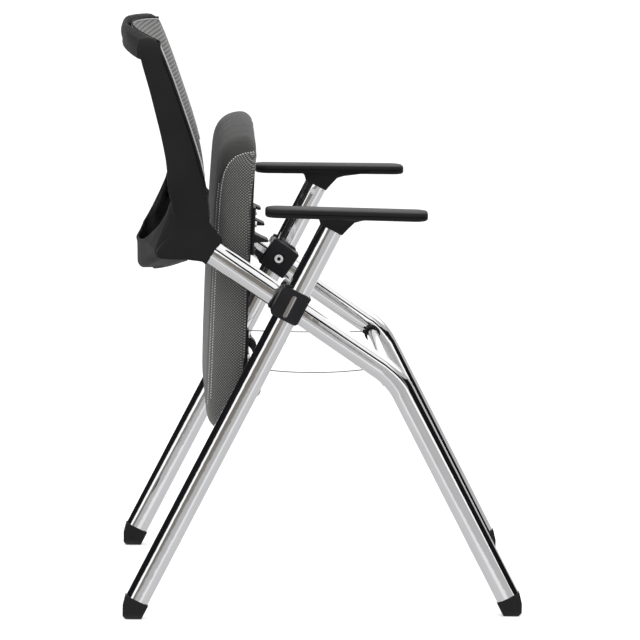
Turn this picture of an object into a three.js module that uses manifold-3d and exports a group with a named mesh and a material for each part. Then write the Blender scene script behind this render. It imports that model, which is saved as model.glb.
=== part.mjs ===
// A nesting chair: crossed chrome legs, a flip-up padded seat, a mesh back and two armrests.
// Millimetres, +Z up. The sitter faces -Y, and +X is the sitter's left.
import * as THREE from 'three';
import { mergeVertices } from 'three/addons/utils/BufferGeometryUtils.js';
import Module from 'manifold-3d';

const wasm = await Module();
wasm.setup();

// Clearances
const seatGap = 0.3; // between pieces that touch
const runningGap = 0.6; // round pieces that turn
const cutOverrun = 2; // how far a cut runs past the face it opens
const turn = Math.PI / 180;

// Leg tube: an oval section, its wide side facing the chair's side
const tubeWidth = 38;
const tubeThickness = 20;
const tubeFlat = 10;
const tubeWall = 1.5;
const tubeEndSteps = 7;

// The legs' centre lines, measured from where they cross, seen from the side
const crossingHeight = 493.9;
const rearLegSlope = 63.45; // degrees from the floor
const frontLegSlope = 62.25;
const upperRailSlope = 34.4; // the front leg above its bend
const bendDistance = 205.5; // from the crossing, down the upper rail
const bendRadius = 110;
const bendSteps = 6;
const armDistance = 137.4; // from the crossing, up the rear leg to its end
const rearLegSpread = 271.5; // middle plane of a rear leg, from the chair's middle
const frontLegSpread = 236;

// Feet
const footHeight = 33; // along the leg
const footLip = 0.8;
const footFlare = 4.5; // the outer wall stands this far outside the rim
const footFlareShare = 0.52; // of the height, where the wall turns in to the rim
const footPlug = 24;
const footCorner = 5;
const footEdge = 1.6;

// Cross tubes and the seat's pivot
const crossTubeRadius = 10;
const crossTubeWall = 1.5;
const weldRadius = 12.6;
const weldWidth = 4;
const pivotDistance = 142.7; // from the crossing, down the rear leg
const pivotOffset = 9.4; // in front of the rear leg's centre line
const frontTubeStep = 7.2; // from the bend, up the upper rail
const frontTubeOffset = 9.5; // below the upper rail's centre line
const roundSteps = 20;

// Clamps where the legs cross
const clampRise = 4.2; // the bolt and the clamps' middles, above the crossing
const clampLength = 49.5; // along the rear leg
const clampBreadth = 47;
const clampWall = 5; // outside a rear leg
const clampCorner = 6;
const clampEdge = 1.8;
const clampEarLength = 8;
const clampEarHeight = 3.5;
const innerClampLength = 50.5; // along the upper rail
const innerClampBreadth = 48.5;
const innerClampWall = 6; // inside a front leg
const innerFaceHigh = 10; // the inner face is flat from here, above the bolt
const innerFaceLow = 9; // to here, below it, and slopes off on both sides
const innerFaceFall = 3.4;
const clampStepLength = 14;
const clampStepBreadth = 16;
const clampStepTaper = 5;
const windowLength = 38;
const windowWidth = 7.6;
const boltRadius = 3.2;
const boltHeadRadius = 7.2;
const boltHeadHeight = 4.4;
const boltSocketRadius = 3;
const boltSocketDepth = 2.6;
const boltReach = 8; // past the rear leg's inner face
const counterboreRadius = 9;
const counterboreDepth = 5;
const nutRadius = 5.8;
const nutHeight = 5.5;

// Armrests
const padLength = 250;
const padWidth = 56;
const padThickness = 13.4;
const padSpread = 285.5; // above the leg's end
const padSplay = 4.1; // degrees: the front ends stand further apart
const padSlope = 0.4; // degrees, down towards the front
const padOverhang = 102.3; // behind the leg's end
const neckRise = 20; // from the leg's end to the pad's underside
const padCorner = 20;
const padEdge = 4;
const padGroove = 1.1;
const armNeckWall = 2; // the neck stands this far outside the leg tube
const armPlug = 34;
const armScrewDrop = 11; // below the neck, along the leg

// Back: its places are shares of the rise and sweep from the socket mouth to the top rail
const socketDistance = 142.5; // from the crossing, up the upper rail to the socket's mouth
const socketDepth = 72;
const socketWall = 4.4;
const socketTongue = 33;
const tongueWidth = 8;
const tongueThickness = 1.4;
const backRise = 331;
const backSweep = 147.5;
const stileWidth = 30;
const stileEdge = 4;
const backCorner = 34;
const meshThickness = 1.6;
const meshGap = 0.8; // the sheet's facets and the frame's differ a little
const meshMargin = 3; // the mesh stops this far inside the frame's outer edge
const sheetColumns = 14;
const sheetRows = 15;
const sheetCrowding = 1.25; // the rows lie closer together near the bow
const topRailHeight = 42;
const topRailCrown = 8.5; // the top rail's middle stands this far above its ends
const bowDrop = 60.4; // the bow's lowest edge, below the socket's mouth
const bowDepth = 116.2; // its rear face, behind the socket's mouth
const bowHeight = 53; // at its middle
const bowLowRise = 46; // its lower edge rises this much to the stiles
const bowHighRise = 85; // and its upper edge this much
const bowLowTurn = 29; // its lower edge comes forward this much to the stiles
const bowHighTurn = 44;
const bowEndTurn = 11; // its outer face rounds in this much across a stile
const bowWall = 6;
const bowEdge = 10; // height of the rounding under its rear face

// Seat, measured from the pivot: "along" runs to the front edge, "rise" to the sitting face
const seatLean = 2; // degrees past upright when it is folded up
const undersideRise = 11.3;
const cushionFront = 402;
const cushionRear = 84.5;
const cushionHalfWidth = 214;
const cushionThickness = 57;
const cushionCrown = 4.5;
const cushionBow = 24; // the front edge's bow between its corners
const cushionDraw = 4; // the sides draw in this much between the corners
const cushionCorner = 42;
const boardInset = 17;
const boardSideInset = 10;
const boardThickness = 8;
const plateThickness = 4;
const plateEdge = 1;

// Hooks that drop over the front cross tube
const hookSpread = 190;
const hookWidth = 34;
const hookPlateRear = 10.8; // from the tube's middle back to the plate's end
const hookPlateFront = 53.6; // from the claw to the plate's other end
const hookScrewEdge = 9; // from the plate's end to the first screw
const hookScrewPitch = 19;
const hookReach = 21; // below the plate
const hookTip = 3.4;
const hookRoot = 13;

// Bearings on the rear cross tube
const bearingSpread = 150;
const bearingWidth = 26;
const bearingPlateStart = -34;
const bearingPlateEnd = 78;
const bearingScrewEdge = 10;
const bearingScrewPitch = 36;
const bearingRadius = 18;
const collarRadius = 14.5;
const collarWidth = 7;

// Screws under the seat, in the armrests and in the back's sockets
const screwRadius = 2;
const screwHeadRadius = 4.6;
const screwHeadHeight = 2.6;
const screwLength = 10.5;
const screwHole = 0.3;
const screwSteps = 8;

// Book wires between the cross tubes
const wireRadius = 1;
const wireSpread = 219;
const wireRiseRight = 26.5; // above the rear cross tube's middle
const wireRiseLeft = 15;
const wireFrontRiseRight = 17.5; // above the front cross tube's middle
const wireFrontRiseLeft = 3;
const wireSagRight = 7;
const wireSagLeft = 1.5;
const wireSteps = 16;
const wireSides = 8;
const clipWall = 3;
const clipWidth = 5;
const clipLug = 6;

// Finishes
const finishes = {
  chrome: { color: 0xc9ccce, roughness: 0.08, metalness: 1 },
  plastic: { color: 0x2a2a2b, roughness: 0.5, metalness: 0 },
  rubber: { color: 0x222223, roughness: 0.8, metalness: 0 },
  mesh: { color: 0x77797a, roughness: 0.9, metalness: 0 },
  fabric: { color: 0x6c6d6e, roughness: 0.95, metalness: 0 },
  steel: { color: 0xa9abad, roughness: 0.3, metalness: 1 },
  cord: { color: 0x8f9192, roughness: 0.5, metalness: 0 },
};

const chair = new THREE.Group();

function addPart(name, finish, geometry, parent = chair) {
  const mesh = new THREE.Mesh(geometry, new THREE.MeshStandardMaterial(finishes[finish]));
  mesh.name = name;
  parent.add(mesh);
  return mesh;
}

// Closed meshes and booleans
function bare(geometry) {
  const plain = geometry.clone();
  plain.deleteAttribute('normal');
  plain.deleteAttribute('uv');
  return mergeVertices(plain);
}

function solidOf(geometry) {
  const merged = bare(geometry);
  return new wasm.Manifold(new wasm.Mesh({
    numProp: 3,
    vertProperties: new Float32Array(merged.attributes.position.array),
    triVerts: new Uint32Array(merged.index.array),
  }));
}

function geometryOf(solid) {
  const mesh = solid.getMesh();
  const geometry = new THREE.BufferGeometry();
  geometry.setAttribute('position', new THREE.BufferAttribute(new Float32Array(mesh.vertProperties), 3));
  geometry.setIndex(new THREE.BufferAttribute(new Uint32Array(mesh.triVerts), 1));
  return geometry;
}

function joined(first, ...others) {
  return geometryOf(others.reduce((solid, next) => solid.add(solidOf(next)), solidOf(first)));
}

function cut(body, ...tools) {
  return geometryOf(tools.reduce((solid, tool) => solid.subtract(solidOf(tool)), solidOf(body)));
}

function signedVolume(points, triangles) {
  let sum = 0;
  for (let i = 0; i < triangles.length; i += 3) {
    const [a, b, c] = [points[triangles[i]], points[triangles[i + 1]], points[triangles[i + 2]]];
    sum += a.dot(new THREE.Vector3().crossVectors(b, c));
  }
  return sum;
}

function meshFrom(points, triangles) {
  if (signedVolume(points, triangles) < 0) triangles.reverse();
  const geometry = new THREE.BufferGeometry();
  geometry.setAttribute('position', new THREE.Float32BufferAttribute(points.flatMap((p) => p.toArray()), 3));
  geometry.setIndex(triangles);
  return geometry;
}

// Triangles that close a flat ring of points
function capOf(ring) {
  const normal = new THREE.Vector3();
  ring.forEach((p, i) => {
    const q = ring[(i + 1) % ring.length];
    normal.add(new THREE.Vector3().crossVectors(p, q));
  });
  normal.normalize();
  const side = new THREE.Vector3(1, 0, 0);
  if (Math.abs(normal.x) > Math.SQRT1_2) side.set(0, 1, 0);
  const across = new THREE.Vector3().crossVectors(normal, side).normalize();
  const along = new THREE.Vector3().crossVectors(normal, across);
  const flat = ring.map((p) => new THREE.Vector2(p.dot(along), p.dot(across)));
  const faces = THREE.ShapeUtils.triangulateShape(flat, []);
  return { faces, turned: THREE.ShapeUtils.isClockWise(flat) };
}

// A solid skinned over rings that have the same number of points
function skin(rings) {
  const count = rings[0].length;
  const points = rings.flat();
  const triangles = [];
  for (let row = 0; row + 1 < rings.length; row += 1) {
    for (let i = 0; i < count; i += 1) {
      const j = (i + 1) % count;
      const [a, b] = [row * count + i, row * count + j];
      const [c, d] = [a + count, b + count];
      triangles.push(a, b, d, a, d, c);
    }
  }
  const last = (rings.length - 1) * count;
  const first = capOf(rings[0]);
  const end = capOf(rings[rings.length - 1]);
  // the first cap runs against the sides' direction, the last one with it
  for (const [a, b, c] of first.faces) {
    if (first.turned) triangles.push(a, b, c);
    else triangles.push(a, c, b);
  }
  for (const [a, b, c] of end.faces) {
    if (end.turned) triangles.push(last + a, last + c, last + b);
    else triangles.push(last + a, last + b, last + c);
  }
  return meshFrom(points, triangles);
}

// A pipe with open ends, skinned over outer rings and as many inner ones
function pipeSkin(outer, inner) {
  const count = outer[0].length;
  const rows = outer.length;
  const points = [...outer.flat(), ...inner.flat()];
  const triangles = [];
  const shift = rows * count;
  for (let i = 0; i < count; i += 1) {
    const j = (i + 1) % count;
    for (let row = 0; row + 1 < rows; row += 1) {
      const [a, b] = [row * count + i, row * count + j];
      const [c, d] = [a + count, b + count];
      triangles.push(a, b, d, a, d, c);
      triangles.push(shift + a, shift + d, shift + b, shift + a, shift + c, shift + d);
    }
    triangles.push(i, shift + j, j, i, shift + i, shift + j);
    const end = (rows - 1) * count;
    triangles.push(end + i, end + j, shift + end + j, end + i, shift + end + j, shift + end + i);
  }
  return meshFrom(points, triangles);
}

// Sections: loops of [across, out] pairs
function ovalLoop(width, thickness, flat, steps = tubeEndSteps) {
  const loop = [];
  const reach = (width - flat) / 2;
  for (const side of [1, -1]) {
    for (let i = 0; i <= steps; i += 1) {
      const angle = (i / steps - 0.5) * Math.PI;
      loop.push([side * (flat / 2 + reach * Math.cos(angle)), side * (thickness / 2) * Math.sin(angle)]);
    }
  }
  return loop;
}

function roundedShape(width, height, corner, cx = 0, cy = 0) {
  const [w, h] = [width / 2, height / 2];
  const shape = new THREE.Shape();
  shape.absarc(cx + w - corner, cy + h - corner, corner, 0, Math.PI / 2, false);
  shape.absarc(cx - w + corner, cy + h - corner, corner, Math.PI / 2, Math.PI, false);
  shape.absarc(cx - w + corner, cy - h + corner, corner, Math.PI, Math.PI * 1.5, false);
  shape.absarc(cx + w - corner, cy - h + corner, corner, Math.PI * 1.5, Math.PI * 2, false);
  shape.closePath();
  return shape;
}

// A plate whose outline lies in the Y-Z plane, between two places along X, with softened edges
function sidePlate(shape, xLow, xHigh, edge = 0, curveSegments = 3, bevelSegments = 1) {
  const geometry = new THREE.ExtrudeGeometry(shape, {
    depth: xHigh - xLow - 2 * edge,
    bevelEnabled: edge > 0,
    bevelThickness: edge,
    bevelSize: edge,
    bevelOffset: -edge,
    bevelSegments,
    curveSegments,
  });
  // the shape's own plane turns to Y-Z, and the depth to X
  geometry.applyMatrix4(new THREE.Matrix4().makeBasis(
    new THREE.Vector3(0, 1, 0), new THREE.Vector3(0, 0, 1), new THREE.Vector3(1, 0, 0)));
  geometry.translate(xLow + edge, 0, 0);
  return geometry;
}

function sideShape(points) {
  return new THREE.Shape(points.map(([y, z]) => new THREE.Vector2(y, z)));
}

// A cylinder along X
function pinX(radius, xLow, xHigh, y = 0, z = 0, steps = roundSteps) {
  const geometry = new THREE.CylinderGeometry(radius, radius, xHigh - xLow, steps);
  geometry.rotateZ(-Math.PI / 2);
  geometry.translate((xLow + xHigh) / 2, y, z);
  return geometry;
}

function box(low, high) {
  const geometry = new THREE.BoxGeometry(high[0] - low[0], high[1] - low[1], high[2] - low[2]);
  geometry.translate((low[0] + high[0]) / 2, (low[1] + high[1]) / 2, (low[2] + high[2]) / 2);
  return geometry;
}

function mirrored(geometry) {
  const copy = geometry.clone();
  copy.scale(-1, 1, 1);
  const index = copy.index ? copy.index.array : null;
  if (index) {
    for (let i = 0; i < index.length; i += 3) [index[i], index[i + 1]] = [index[i + 1], index[i]];
    return copy;
  }
  const merged = bare(copy);
  const faces = merged.index.array;
  for (let i = 0; i < faces.length; i += 3) [faces[i], faces[i + 1]] = [faces[i + 1], faces[i]];
  return merged;
}

// The piece on the sitter's left, and its mirror image on the right
function addPair(name, finish, geometry, parent = chair) {
  addPart(`${name}_left`, finish, geometry, parent);
  addPart(`${name}_right`, finish, mirrored(geometry), parent);
}

// Lines of the legs, in the Y-Z plane
const flat2 = (y, z) => new THREE.Vector2(y, z);
const direction = (slope) => flat2(Math.cos(slope * turn), Math.sin(slope * turn));
const rearUp = flat2(-direction(rearLegSlope).x, direction(rearLegSlope).y);
const frontUp = direction(frontLegSlope);
const railUp = direction(upperRailSlope);
const along = (start, way, distance) => start.clone().addScaledVector(way, distance);
const leftOf = (way) => flat2(-way.y, way.x);
const crossing = flat2(0, crossingHeight);
const rearFloor = along(crossing, rearUp, -crossing.y / rearUp.y);
const legEnd = along(crossing, rearUp, armDistance);
const bendPoint = along(crossing, railUp, -bendDistance);
const frontFloor = along(bendPoint, frontUp, -bendPoint.y / frontUp.y);
const socketMouth = along(crossing, railUp, socketDistance);
const pivot = along(crossing, rearUp, -pivotDistance).addScaledVector(leftOf(rearUp), pivotOffset);
const frontTube = along(bendPoint, railUp, frontTubeStep).addScaledVector(leftOf(railUp), -frontTubeOffset);
const boltPlace = flat2(crossing.x, crossing.y + clampRise);

// A ring of an oval section at a place on a leg's line
function legRing(place, way, loop, x) {
  const side = leftOf(way);
  return loop.map(([across, out]) => new THREE.Vector3(
    x + out, place.x + side.x * across, place.y + side.y * across));
}

const outerLoop = ovalLoop(tubeWidth, tubeThickness, tubeFlat);
const innerLoop = ovalLoop(tubeWidth - 2 * tubeWall, tubeThickness - 2 * tubeWall, tubeFlat);
const boreLoop = ovalLoop(tubeWidth + 2 * seatGap, tubeThickness + 2 * seatGap, tubeFlat);
const plugLoop = ovalLoop(
  tubeWidth - 2 * tubeWall - 2 * seatGap, tubeThickness - 2 * tubeWall - 2 * seatGap, tubeFlat);

// Front leg: foot, bend, upper rail into the back's socket
function frontLegStations() {
  const bend = (frontLegSlope - upperRailSlope) * turn;
  const tangent = bendRadius * Math.tan(bend / 2);
  const arcStart = along(bendPoint, frontUp, -tangent);
  const middle = arcStart.clone().addScaledVector(leftOf(frontUp), -bendRadius);
  const stations = [{ place: along(frontFloor, frontUp, footHeight + seatGap), way: frontUp }];
  for (let i = 0; i <= bendSteps; i += 1) {
    const slope = frontLegSlope * turn - bend * (i / bendSteps);
    const way = flat2(Math.cos(slope), Math.sin(slope));
    stations.push({ place: middle.clone().addScaledVector(leftOf(way), bendRadius), way });
  }
  stations.push({ place: along(socketMouth, railUp, socketDepth), way: railUp });
  return stations;
}

const boltHole = (xLow, xHigh) => pinX(boltRadius + seatGap, xLow, xHigh, boltPlace.x, boltPlace.y);
const rearLegInner = rearLegSpread - tubeThickness / 2;
const rearLegOuter = rearLegSpread + tubeThickness / 2;
const frontLegInner = frontLegSpread - tubeThickness / 2;
const frontLegOuter = frontLegSpread + tubeThickness / 2;
const clampSplit = (rearLegInner + frontLegOuter) / 2;

const rearLegStations = [along(rearFloor, rearUp, footHeight + seatGap), legEnd];
const rearLegPipe = pipeSkin(
  rearLegStations.map((place) => legRing(place, rearUp, outerLoop, rearLegSpread)),
  rearLegStations.map((place) => legRing(place, rearUp, innerLoop, rearLegSpread)));
const armScrewPlace = along(legEnd, rearUp, -armScrewDrop);
const armScrewHole = pinX(
  screwRadius + screwHole, rearLegInner - cutOverrun, rearLegInner + tubeWall + cutOverrun,
  armScrewPlace.x, armScrewPlace.y, screwSteps);
addPair('rear_leg', 'chrome',
  cut(rearLegPipe, boltHole(rearLegInner - cutOverrun, rearLegSpread), armScrewHole));

const frontStations = frontLegStations();
const frontLegPipe = pipeSkin(
  frontStations.map(({ place, way }) => legRing(place, way, outerLoop, frontLegSpread)),
  frontStations.map(({ place, way }) => legRing(place, way, innerLoop, frontLegSpread)));
const socketScrewPlace = along(socketMouth, railUp, socketDepth / 2);
const socketScrewHole = pinX(
  screwRadius + screwHole, frontLegInner - socketWall - cutOverrun, frontLegInner + tubeWall + cutOverrun,
  socketScrewPlace.x, socketScrewPlace.y, screwSteps);
addPair('front_leg', 'chrome',
  cut(frontLegPipe, boltHole(frontLegInner - cutOverrun, frontLegOuter + cutOverrun), socketScrewHole));

// Feet: a moulded cap with a flat sole, plugged into the tube
function footCap(start, way, x, outward) {
  const half = tubeWidth / 2 + footLip;
  const top = along(start, way, footHeight);
  const side = leftOf(way).multiplyScalar(outward * Math.sign(leftOf(way).x));
  const outerTop = top.clone().addScaledVector(side, half);
  const innerTop = top.clone().addScaledVector(side, -half);
  const innerFoot = along(innerTop, way, -innerTop.y / way.y);
  const outer = outerTop.x + outward * footFlare;
  const shape = sideShape([
    [innerTop.x, innerTop.y],
    [innerFoot.x, 0],
    [outer - outward * footCorner, 0],
    [outer, footCorner],
    [outer, outerTop.y * footFlareShare],
    [outerTop.x, outerTop.y],
  ]);
  const reach = tubeThickness / 2 + footLip;
  const cap = sidePlate(shape, x - reach, x + reach, footEdge);
  // softened edges keep the sole on the floor and the rim square
  const plug = skin([-footEdge * 2, footPlug].map((d) => legRing(along(top, way, d), way, plugLoop, x)));
  return joined(cap, plug);
}
addPair('rear_foot', 'rubber', footCap(rearFloor, rearUp, rearLegSpread, 1));
addPair('front_foot', 'rubber', footCap(frontFloor, frontUp, frontLegSpread, -1));

// Cross tubes, with a weld bead at each end
function crossTube(halfLength, y, z) {
  const profile = [
    [crossTubeRadius - crossTubeWall, -halfLength],
    [weldRadius, -halfLength],
    [weldRadius, -halfLength + weldWidth / 2],
    [crossTubeRadius, -halfLength + weldWidth],
    [crossTubeRadius, halfLength - weldWidth],
    [weldRadius, halfLength - weldWidth / 2],
    [weldRadius, halfLength],
    [crossTubeRadius - crossTubeWall, halfLength],
  ];
  const points = [...profile, profile[0]].map(([r, h]) => new THREE.Vector2(r, h));
  const geometry = new THREE.LatheGeometry(points, roundSteps);
  geometry.rotateZ(-Math.PI / 2);
  geometry.translate(0, y, z);
  return bare(geometry);
}
addPart('front_cross_tube', 'chrome', crossTube(frontLegInner - seatGap, frontTube.x, frontTube.y));
addPart('rear_cross_tube', 'chrome', crossTube(rearLegInner - seatGap, pivot.x, pivot.y));

// Clamps: a block round each leg at the crossing, bolted through both legs
function turnToLeg(geometry, way, place) {
  // the outline's height runs up the leg
  geometry.rotateX(Math.atan2(way.y, way.x) - Math.PI / 2);
  geometry.translate(0, place.x, place.y);
  return geometry;
}

const boreOf = (way, x) => {
  const reach = clampLength;
  return skin([-reach, reach].map((d) => legRing(along(crossing, way, d), way, boreLoop, x)));
};

const outerFace = rearLegOuter + clampWall;
const outerShape = roundedShape(clampBreadth, clampLength, clampCorner);
const outerBlock = turnToLeg(
  sidePlate(outerShape, clampSplit + seatGap / 2, outerFace, clampEdge), rearUp, boltPlace);
const earPlace = (clampBreadth - clampEarLength) / 2 - clampEdge;
const earShape = roundedShape(
  clampEarLength, clampEarHeight * 2, clampEarHeight, earPlace, clampLength / 2);
const clampEar = turnToLeg(sidePlate(earShape, rearLegSpread, outerFace - clampEdge), rearUp, boltPlace);
const windowShape = roundedShape(windowWidth, windowLength, windowWidth / 2, 0, -clampEdge);
const windowCut = turnToLeg(
  sidePlate(windowShape, rearLegSpread, outerFace + cutOverrun), rearUp, boltPlace);
addPair('rear_leg_clamp', 'plastic', cut(
  joined(outerBlock, clampEar), boreOf(rearUp, rearLegSpread), windowCut,
  boltHole(clampSplit - cutOverrun, rearLegSpread)));

// The inner clamp's section runs along the rail, flat round the bolt and sloping off above and below
const innerFace = frontLegInner - innerClampWall;
function innerClamp() {
  const half = innerClampBreadth / 2;
  const split = clampSplit - seatGap / 2;
  const section = new THREE.Shape([
    [-half, innerFace + innerFaceFall], [-innerFaceLow, innerFace], [innerFaceHigh, innerFace],
    [half, innerFace + innerFaceFall], [half, split], [-half, split],
  ].map(([across, x]) => new THREE.Vector2(across, x)));
  const block = new THREE.ExtrudeGeometry(section, {
    depth: innerClampLength - 2 * clampEdge,
    bevelThickness: clampEdge,
    bevelSize: clampEdge,
    bevelOffset: -clampEdge,
    bevelSegments: 1,
  });
  block.translate(0, 0, clampEdge - innerClampLength / 2);
  // the step carries on up the rail, inside its lower side
  const step = new THREE.Shape([
    [-half + clampStepTaper, -clampStepLength], [clampStepBreadth - half, -clampStepLength],
    [clampStepBreadth - half, clampStepLength], [-half + clampStepTaper * 2, clampStepLength],
    [-half + clampEdge, 0],
  ].map(([across, reach]) => new THREE.Vector2(across, reach + innerClampLength / 2)));
  const stepPlate = new THREE.ExtrudeGeometry(step, {
    depth: frontLegInner - innerFace - innerFaceFall, bevelEnabled: false,
  });
  const side = leftOf(railUp);
  const acrossWay = new THREE.Vector3(0, side.x, side.y);
  const railWay = new THREE.Vector3(0, railUp.x, railUp.y);
  const xWay = new THREE.Vector3(1, 0, 0);
  block.applyMatrix4(new THREE.Matrix4().makeBasis(acrossWay, xWay, railWay));
  stepPlate.applyMatrix4(new THREE.Matrix4().makeBasis(acrossWay, railWay, xWay.negate()));
  stepPlate.translate(frontLegInner, 0, 0);
  const whole = joined(block, stepPlate);
  whole.translate(0, boltPlace.x, boltPlace.y);
  return whole;
}
const counterbore = pinX(
  counterboreRadius, innerFace - cutOverrun, innerFace + counterboreDepth, boltPlace.x, boltPlace.y);
addPair('front_leg_clamp', 'plastic', cut(
  innerClamp(), boreOf(railUp, frontLegSpread), counterbore,
  boltHole(innerFace - cutOverrun, clampSplit + cutOverrun)));

const boltStart = innerFace + counterboreDepth - seatGap;
const boltEnd = rearLegInner + tubeWall + boltReach;
const boltBody = joined(
  pinX(boltHeadRadius, boltStart - boltHeadHeight, boltStart, boltPlace.x, boltPlace.y),
  pinX(boltRadius, boltStart - clampEdge, boltEnd, boltPlace.x, boltPlace.y, screwSteps));
addPair('clamp_bolt', 'steel', cut(boltBody, pinX(
  boltSocketRadius, boltStart - boltHeadHeight - cutOverrun,
  boltStart - boltHeadHeight + boltSocketDepth, boltPlace.x, boltPlace.y, 6)));

const nutStart = rearLegInner + tubeWall + 2 * seatGap;
addPair('clamp_nut', 'steel', cut(
  pinX(nutRadius, nutStart, nutStart + nutHeight, boltPlace.x, boltPlace.y, 6),
  pinX(boltRadius + seatGap, nutStart - cutOverrun, nutStart + nutHeight + cutOverrun,
    boltPlace.x, boltPlace.y, screwSteps)));

// Armrests: a rounded pad with a moulded line round its edge, on a neck plugged into the rear leg
const padEdgeShares = [ // [height share, inset share of the edge rounding]
  [0, 1], [0.12, 0.35], [0.3, 0], [0.44, 0], [0.5, -1], [0.56, 0], [0.8, 0.1], [0.93, 0.45], [1, 1],
];

function padOutline(inset, z) {
  const shape = roundedShape(padWidth - 2 * inset, padLength - 2 * inset, padCorner - inset);
  return shape.extractPoints(5).shape.map((p) => new THREE.Vector3(p.x, p.y, z));
}

function armrest() {
  const rings = padEdgeShares.map(([high, insetShare]) => {
    const inset = insetShare < 0 ? padGroove : insetShare * padEdge;
    const ring = padOutline(inset, (high - 1) * padThickness);
    return ring.slice(0, padOutline(0, 0).length);
  });
  const pad = skin(rings);
  pad.translate(0, padOverhang - padLength / 2, padThickness);
  pad.rotateZ(padSplay * turn);
  pad.rotateX(padSlope * turn);
  pad.translate(padSpread, legEnd.x, legEnd.y + neckRise);
  return pad;
}

// The pad's underside at a place along Y
const padUnder = (y) => legEnd.y + neckRise + (y - legEnd.x) * Math.tan(padSlope * turn);

function armNeck() {
  const end = along(legEnd, rearUp, seatGap);
  const across = leftOf(rearUp).multiplyScalar(-1); // towards the rear
  const rear = end.clone().addScaledVector(across, tubeWidth / 2);
  const front = end.clone().addScaledVector(across, -tubeWidth / 2);
  const low = rearLegInner - armNeckWall;
  const high = rearLegOuter + armNeckWall;
  const rise = padUnder(front.x) - front.y;
  const neckShares = [ // [up, rear shift, front shift, inner shift, outer shift], of the rise
    [0, 0, 0, 0, 0],
    [0.35, 0.04, 0.3, 0.02, 0.1],
    [0.75, 0.1, 0.67, 0.04, 0.28],
    [0.88, 0.14, 1.08, 0.05, 0.4],
    [0.96, 0.2, 1.65, 0.05, 0.5],
    [1.1, 0.25, 2.6, 0.02, 0.6],
  ];
  const rings = neckShares.map(([up, rearShare, frontShare, innerShare, outerShare]) => {
    const yRear = rear.x + rearShare * rise;
    const yFront = front.x - frontShare * rise;
    const inside = Math.max(up - 1, 0) * rise; // how far the last ring reaches into the pad
    const zRear = THREE.MathUtils.lerp(rear.y, padUnder(yRear), Math.min(up, 1)) + inside;
    const zFront = THREE.MathUtils.lerp(front.y, padUnder(yFront), Math.min(up, 1)) + inside;
    const xIn = low + innerShare * rise;
    const xOut = high + outerShare * rise;
    const slope = (zRear - zFront) / (yRear - yFront);
    return roundedShape(xOut - xIn, yRear - yFront, armNeckWall * 2).extractPoints(2).shape.map((p) => {
      const y = (yRear + yFront) / 2 + p.y;
      return new THREE.Vector3((xIn + xOut) / 2 + p.x, y, zFront + (y - yFront) * slope);
    });
  });
  const plug = skin([-armPlug, armNeckWall * 2].map(
    (d) => legRing(along(end, rearUp, d), rearUp, plugLoop, rearLegSpread)));
  return [skin(rings), plug];
}
const plugScrewHole = pinX(
  screwRadius + screwHole, rearLegInner, rearLegInner + screwLength + cutOverrun,
  armScrewPlace.x, armScrewPlace.y, screwSteps);
addPair('armrest', 'plastic', cut(joined(armrest(), ...armNeck()), plugScrewHole));

// A pan-headed screw along X, its head's seat at xSeat and its shank towards +X
function screwX(xSeat, y, z, length = screwLength) {
  return joined(
    pinX(screwHeadRadius, xSeat - screwHeadHeight, xSeat, y, z, screwSteps),
    pinX(screwRadius, xSeat - screwHeadHeight / 2, xSeat + length, y, z, screwSteps));
}
addPair('arm_screw', 'steel', screwX(rearLegInner - seatGap, armScrewPlace.x, armScrewPlace.y));

// Back: front and rear lines of a stile, as [sweep share, rise share] from the socket's mouth
const frontLineShares = [
  [0.1, -0.197], [0.045, -0.052], [0.024, 0.042], [0.034, 0.112], [0.062, 0.233], [0.121, 0.369],
  [0.216, 0.513], [0.331, 0.662], [0.446, 0.806], [0.562, 0.936], [0.655, 1.039],
];
const rearLineShares = [
  [0.432, 0.095], [0.442, 0.162], [0.468, 0.213], [0.489, 0.265], [0.499, 0.32], [0.506, 0.38],
  [0.521, 0.434], [0.574, 0.546], [0.639, 0.658], [0.705, 0.769], [0.772, 0.868], [0.83, 0.965],
];

// A smooth line through a table of shares: Y for a height
function lineThrough(shares) {
  const ys = shares.map(([sweep]) => socketMouth.x + sweep * backSweep);
  const zs = shares.map(([, rise]) => socketMouth.y + rise * backRise);
  const slopes = ys.map((_, i) => {
    const [a, b] = [Math.max(i - 1, 0), Math.min(i + 1, ys.length - 1)];
    return (ys[b] - ys[a]) / (zs[b] - zs[a]);
  });
  return (z) => {
    if (z <= zs[0]) return ys[0] + (z - zs[0]) * slopes[0];
    const top = zs.length - 1;
    if (z >= zs[top]) return ys[top] + (z - zs[top]) * slopes[top];
    const i = zs.findIndex((value) => value > z) - 1;
    const span = zs[i + 1] - zs[i];
    const t = (z - zs[i]) / span;
    const [t2, t3] = [t * t, t * t * t];
    return (2 * t3 - 3 * t2 + 1) * ys[i] + (t3 - 2 * t2 + t) * span * slopes[i]
      + (3 * t2 - 2 * t3) * ys[i + 1] + (t3 - t2) * span * slopes[i + 1];
  };
}
const frontLine = lineThrough(frontLineShares);
const rearLine = lineThrough(rearLineShares);

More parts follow.
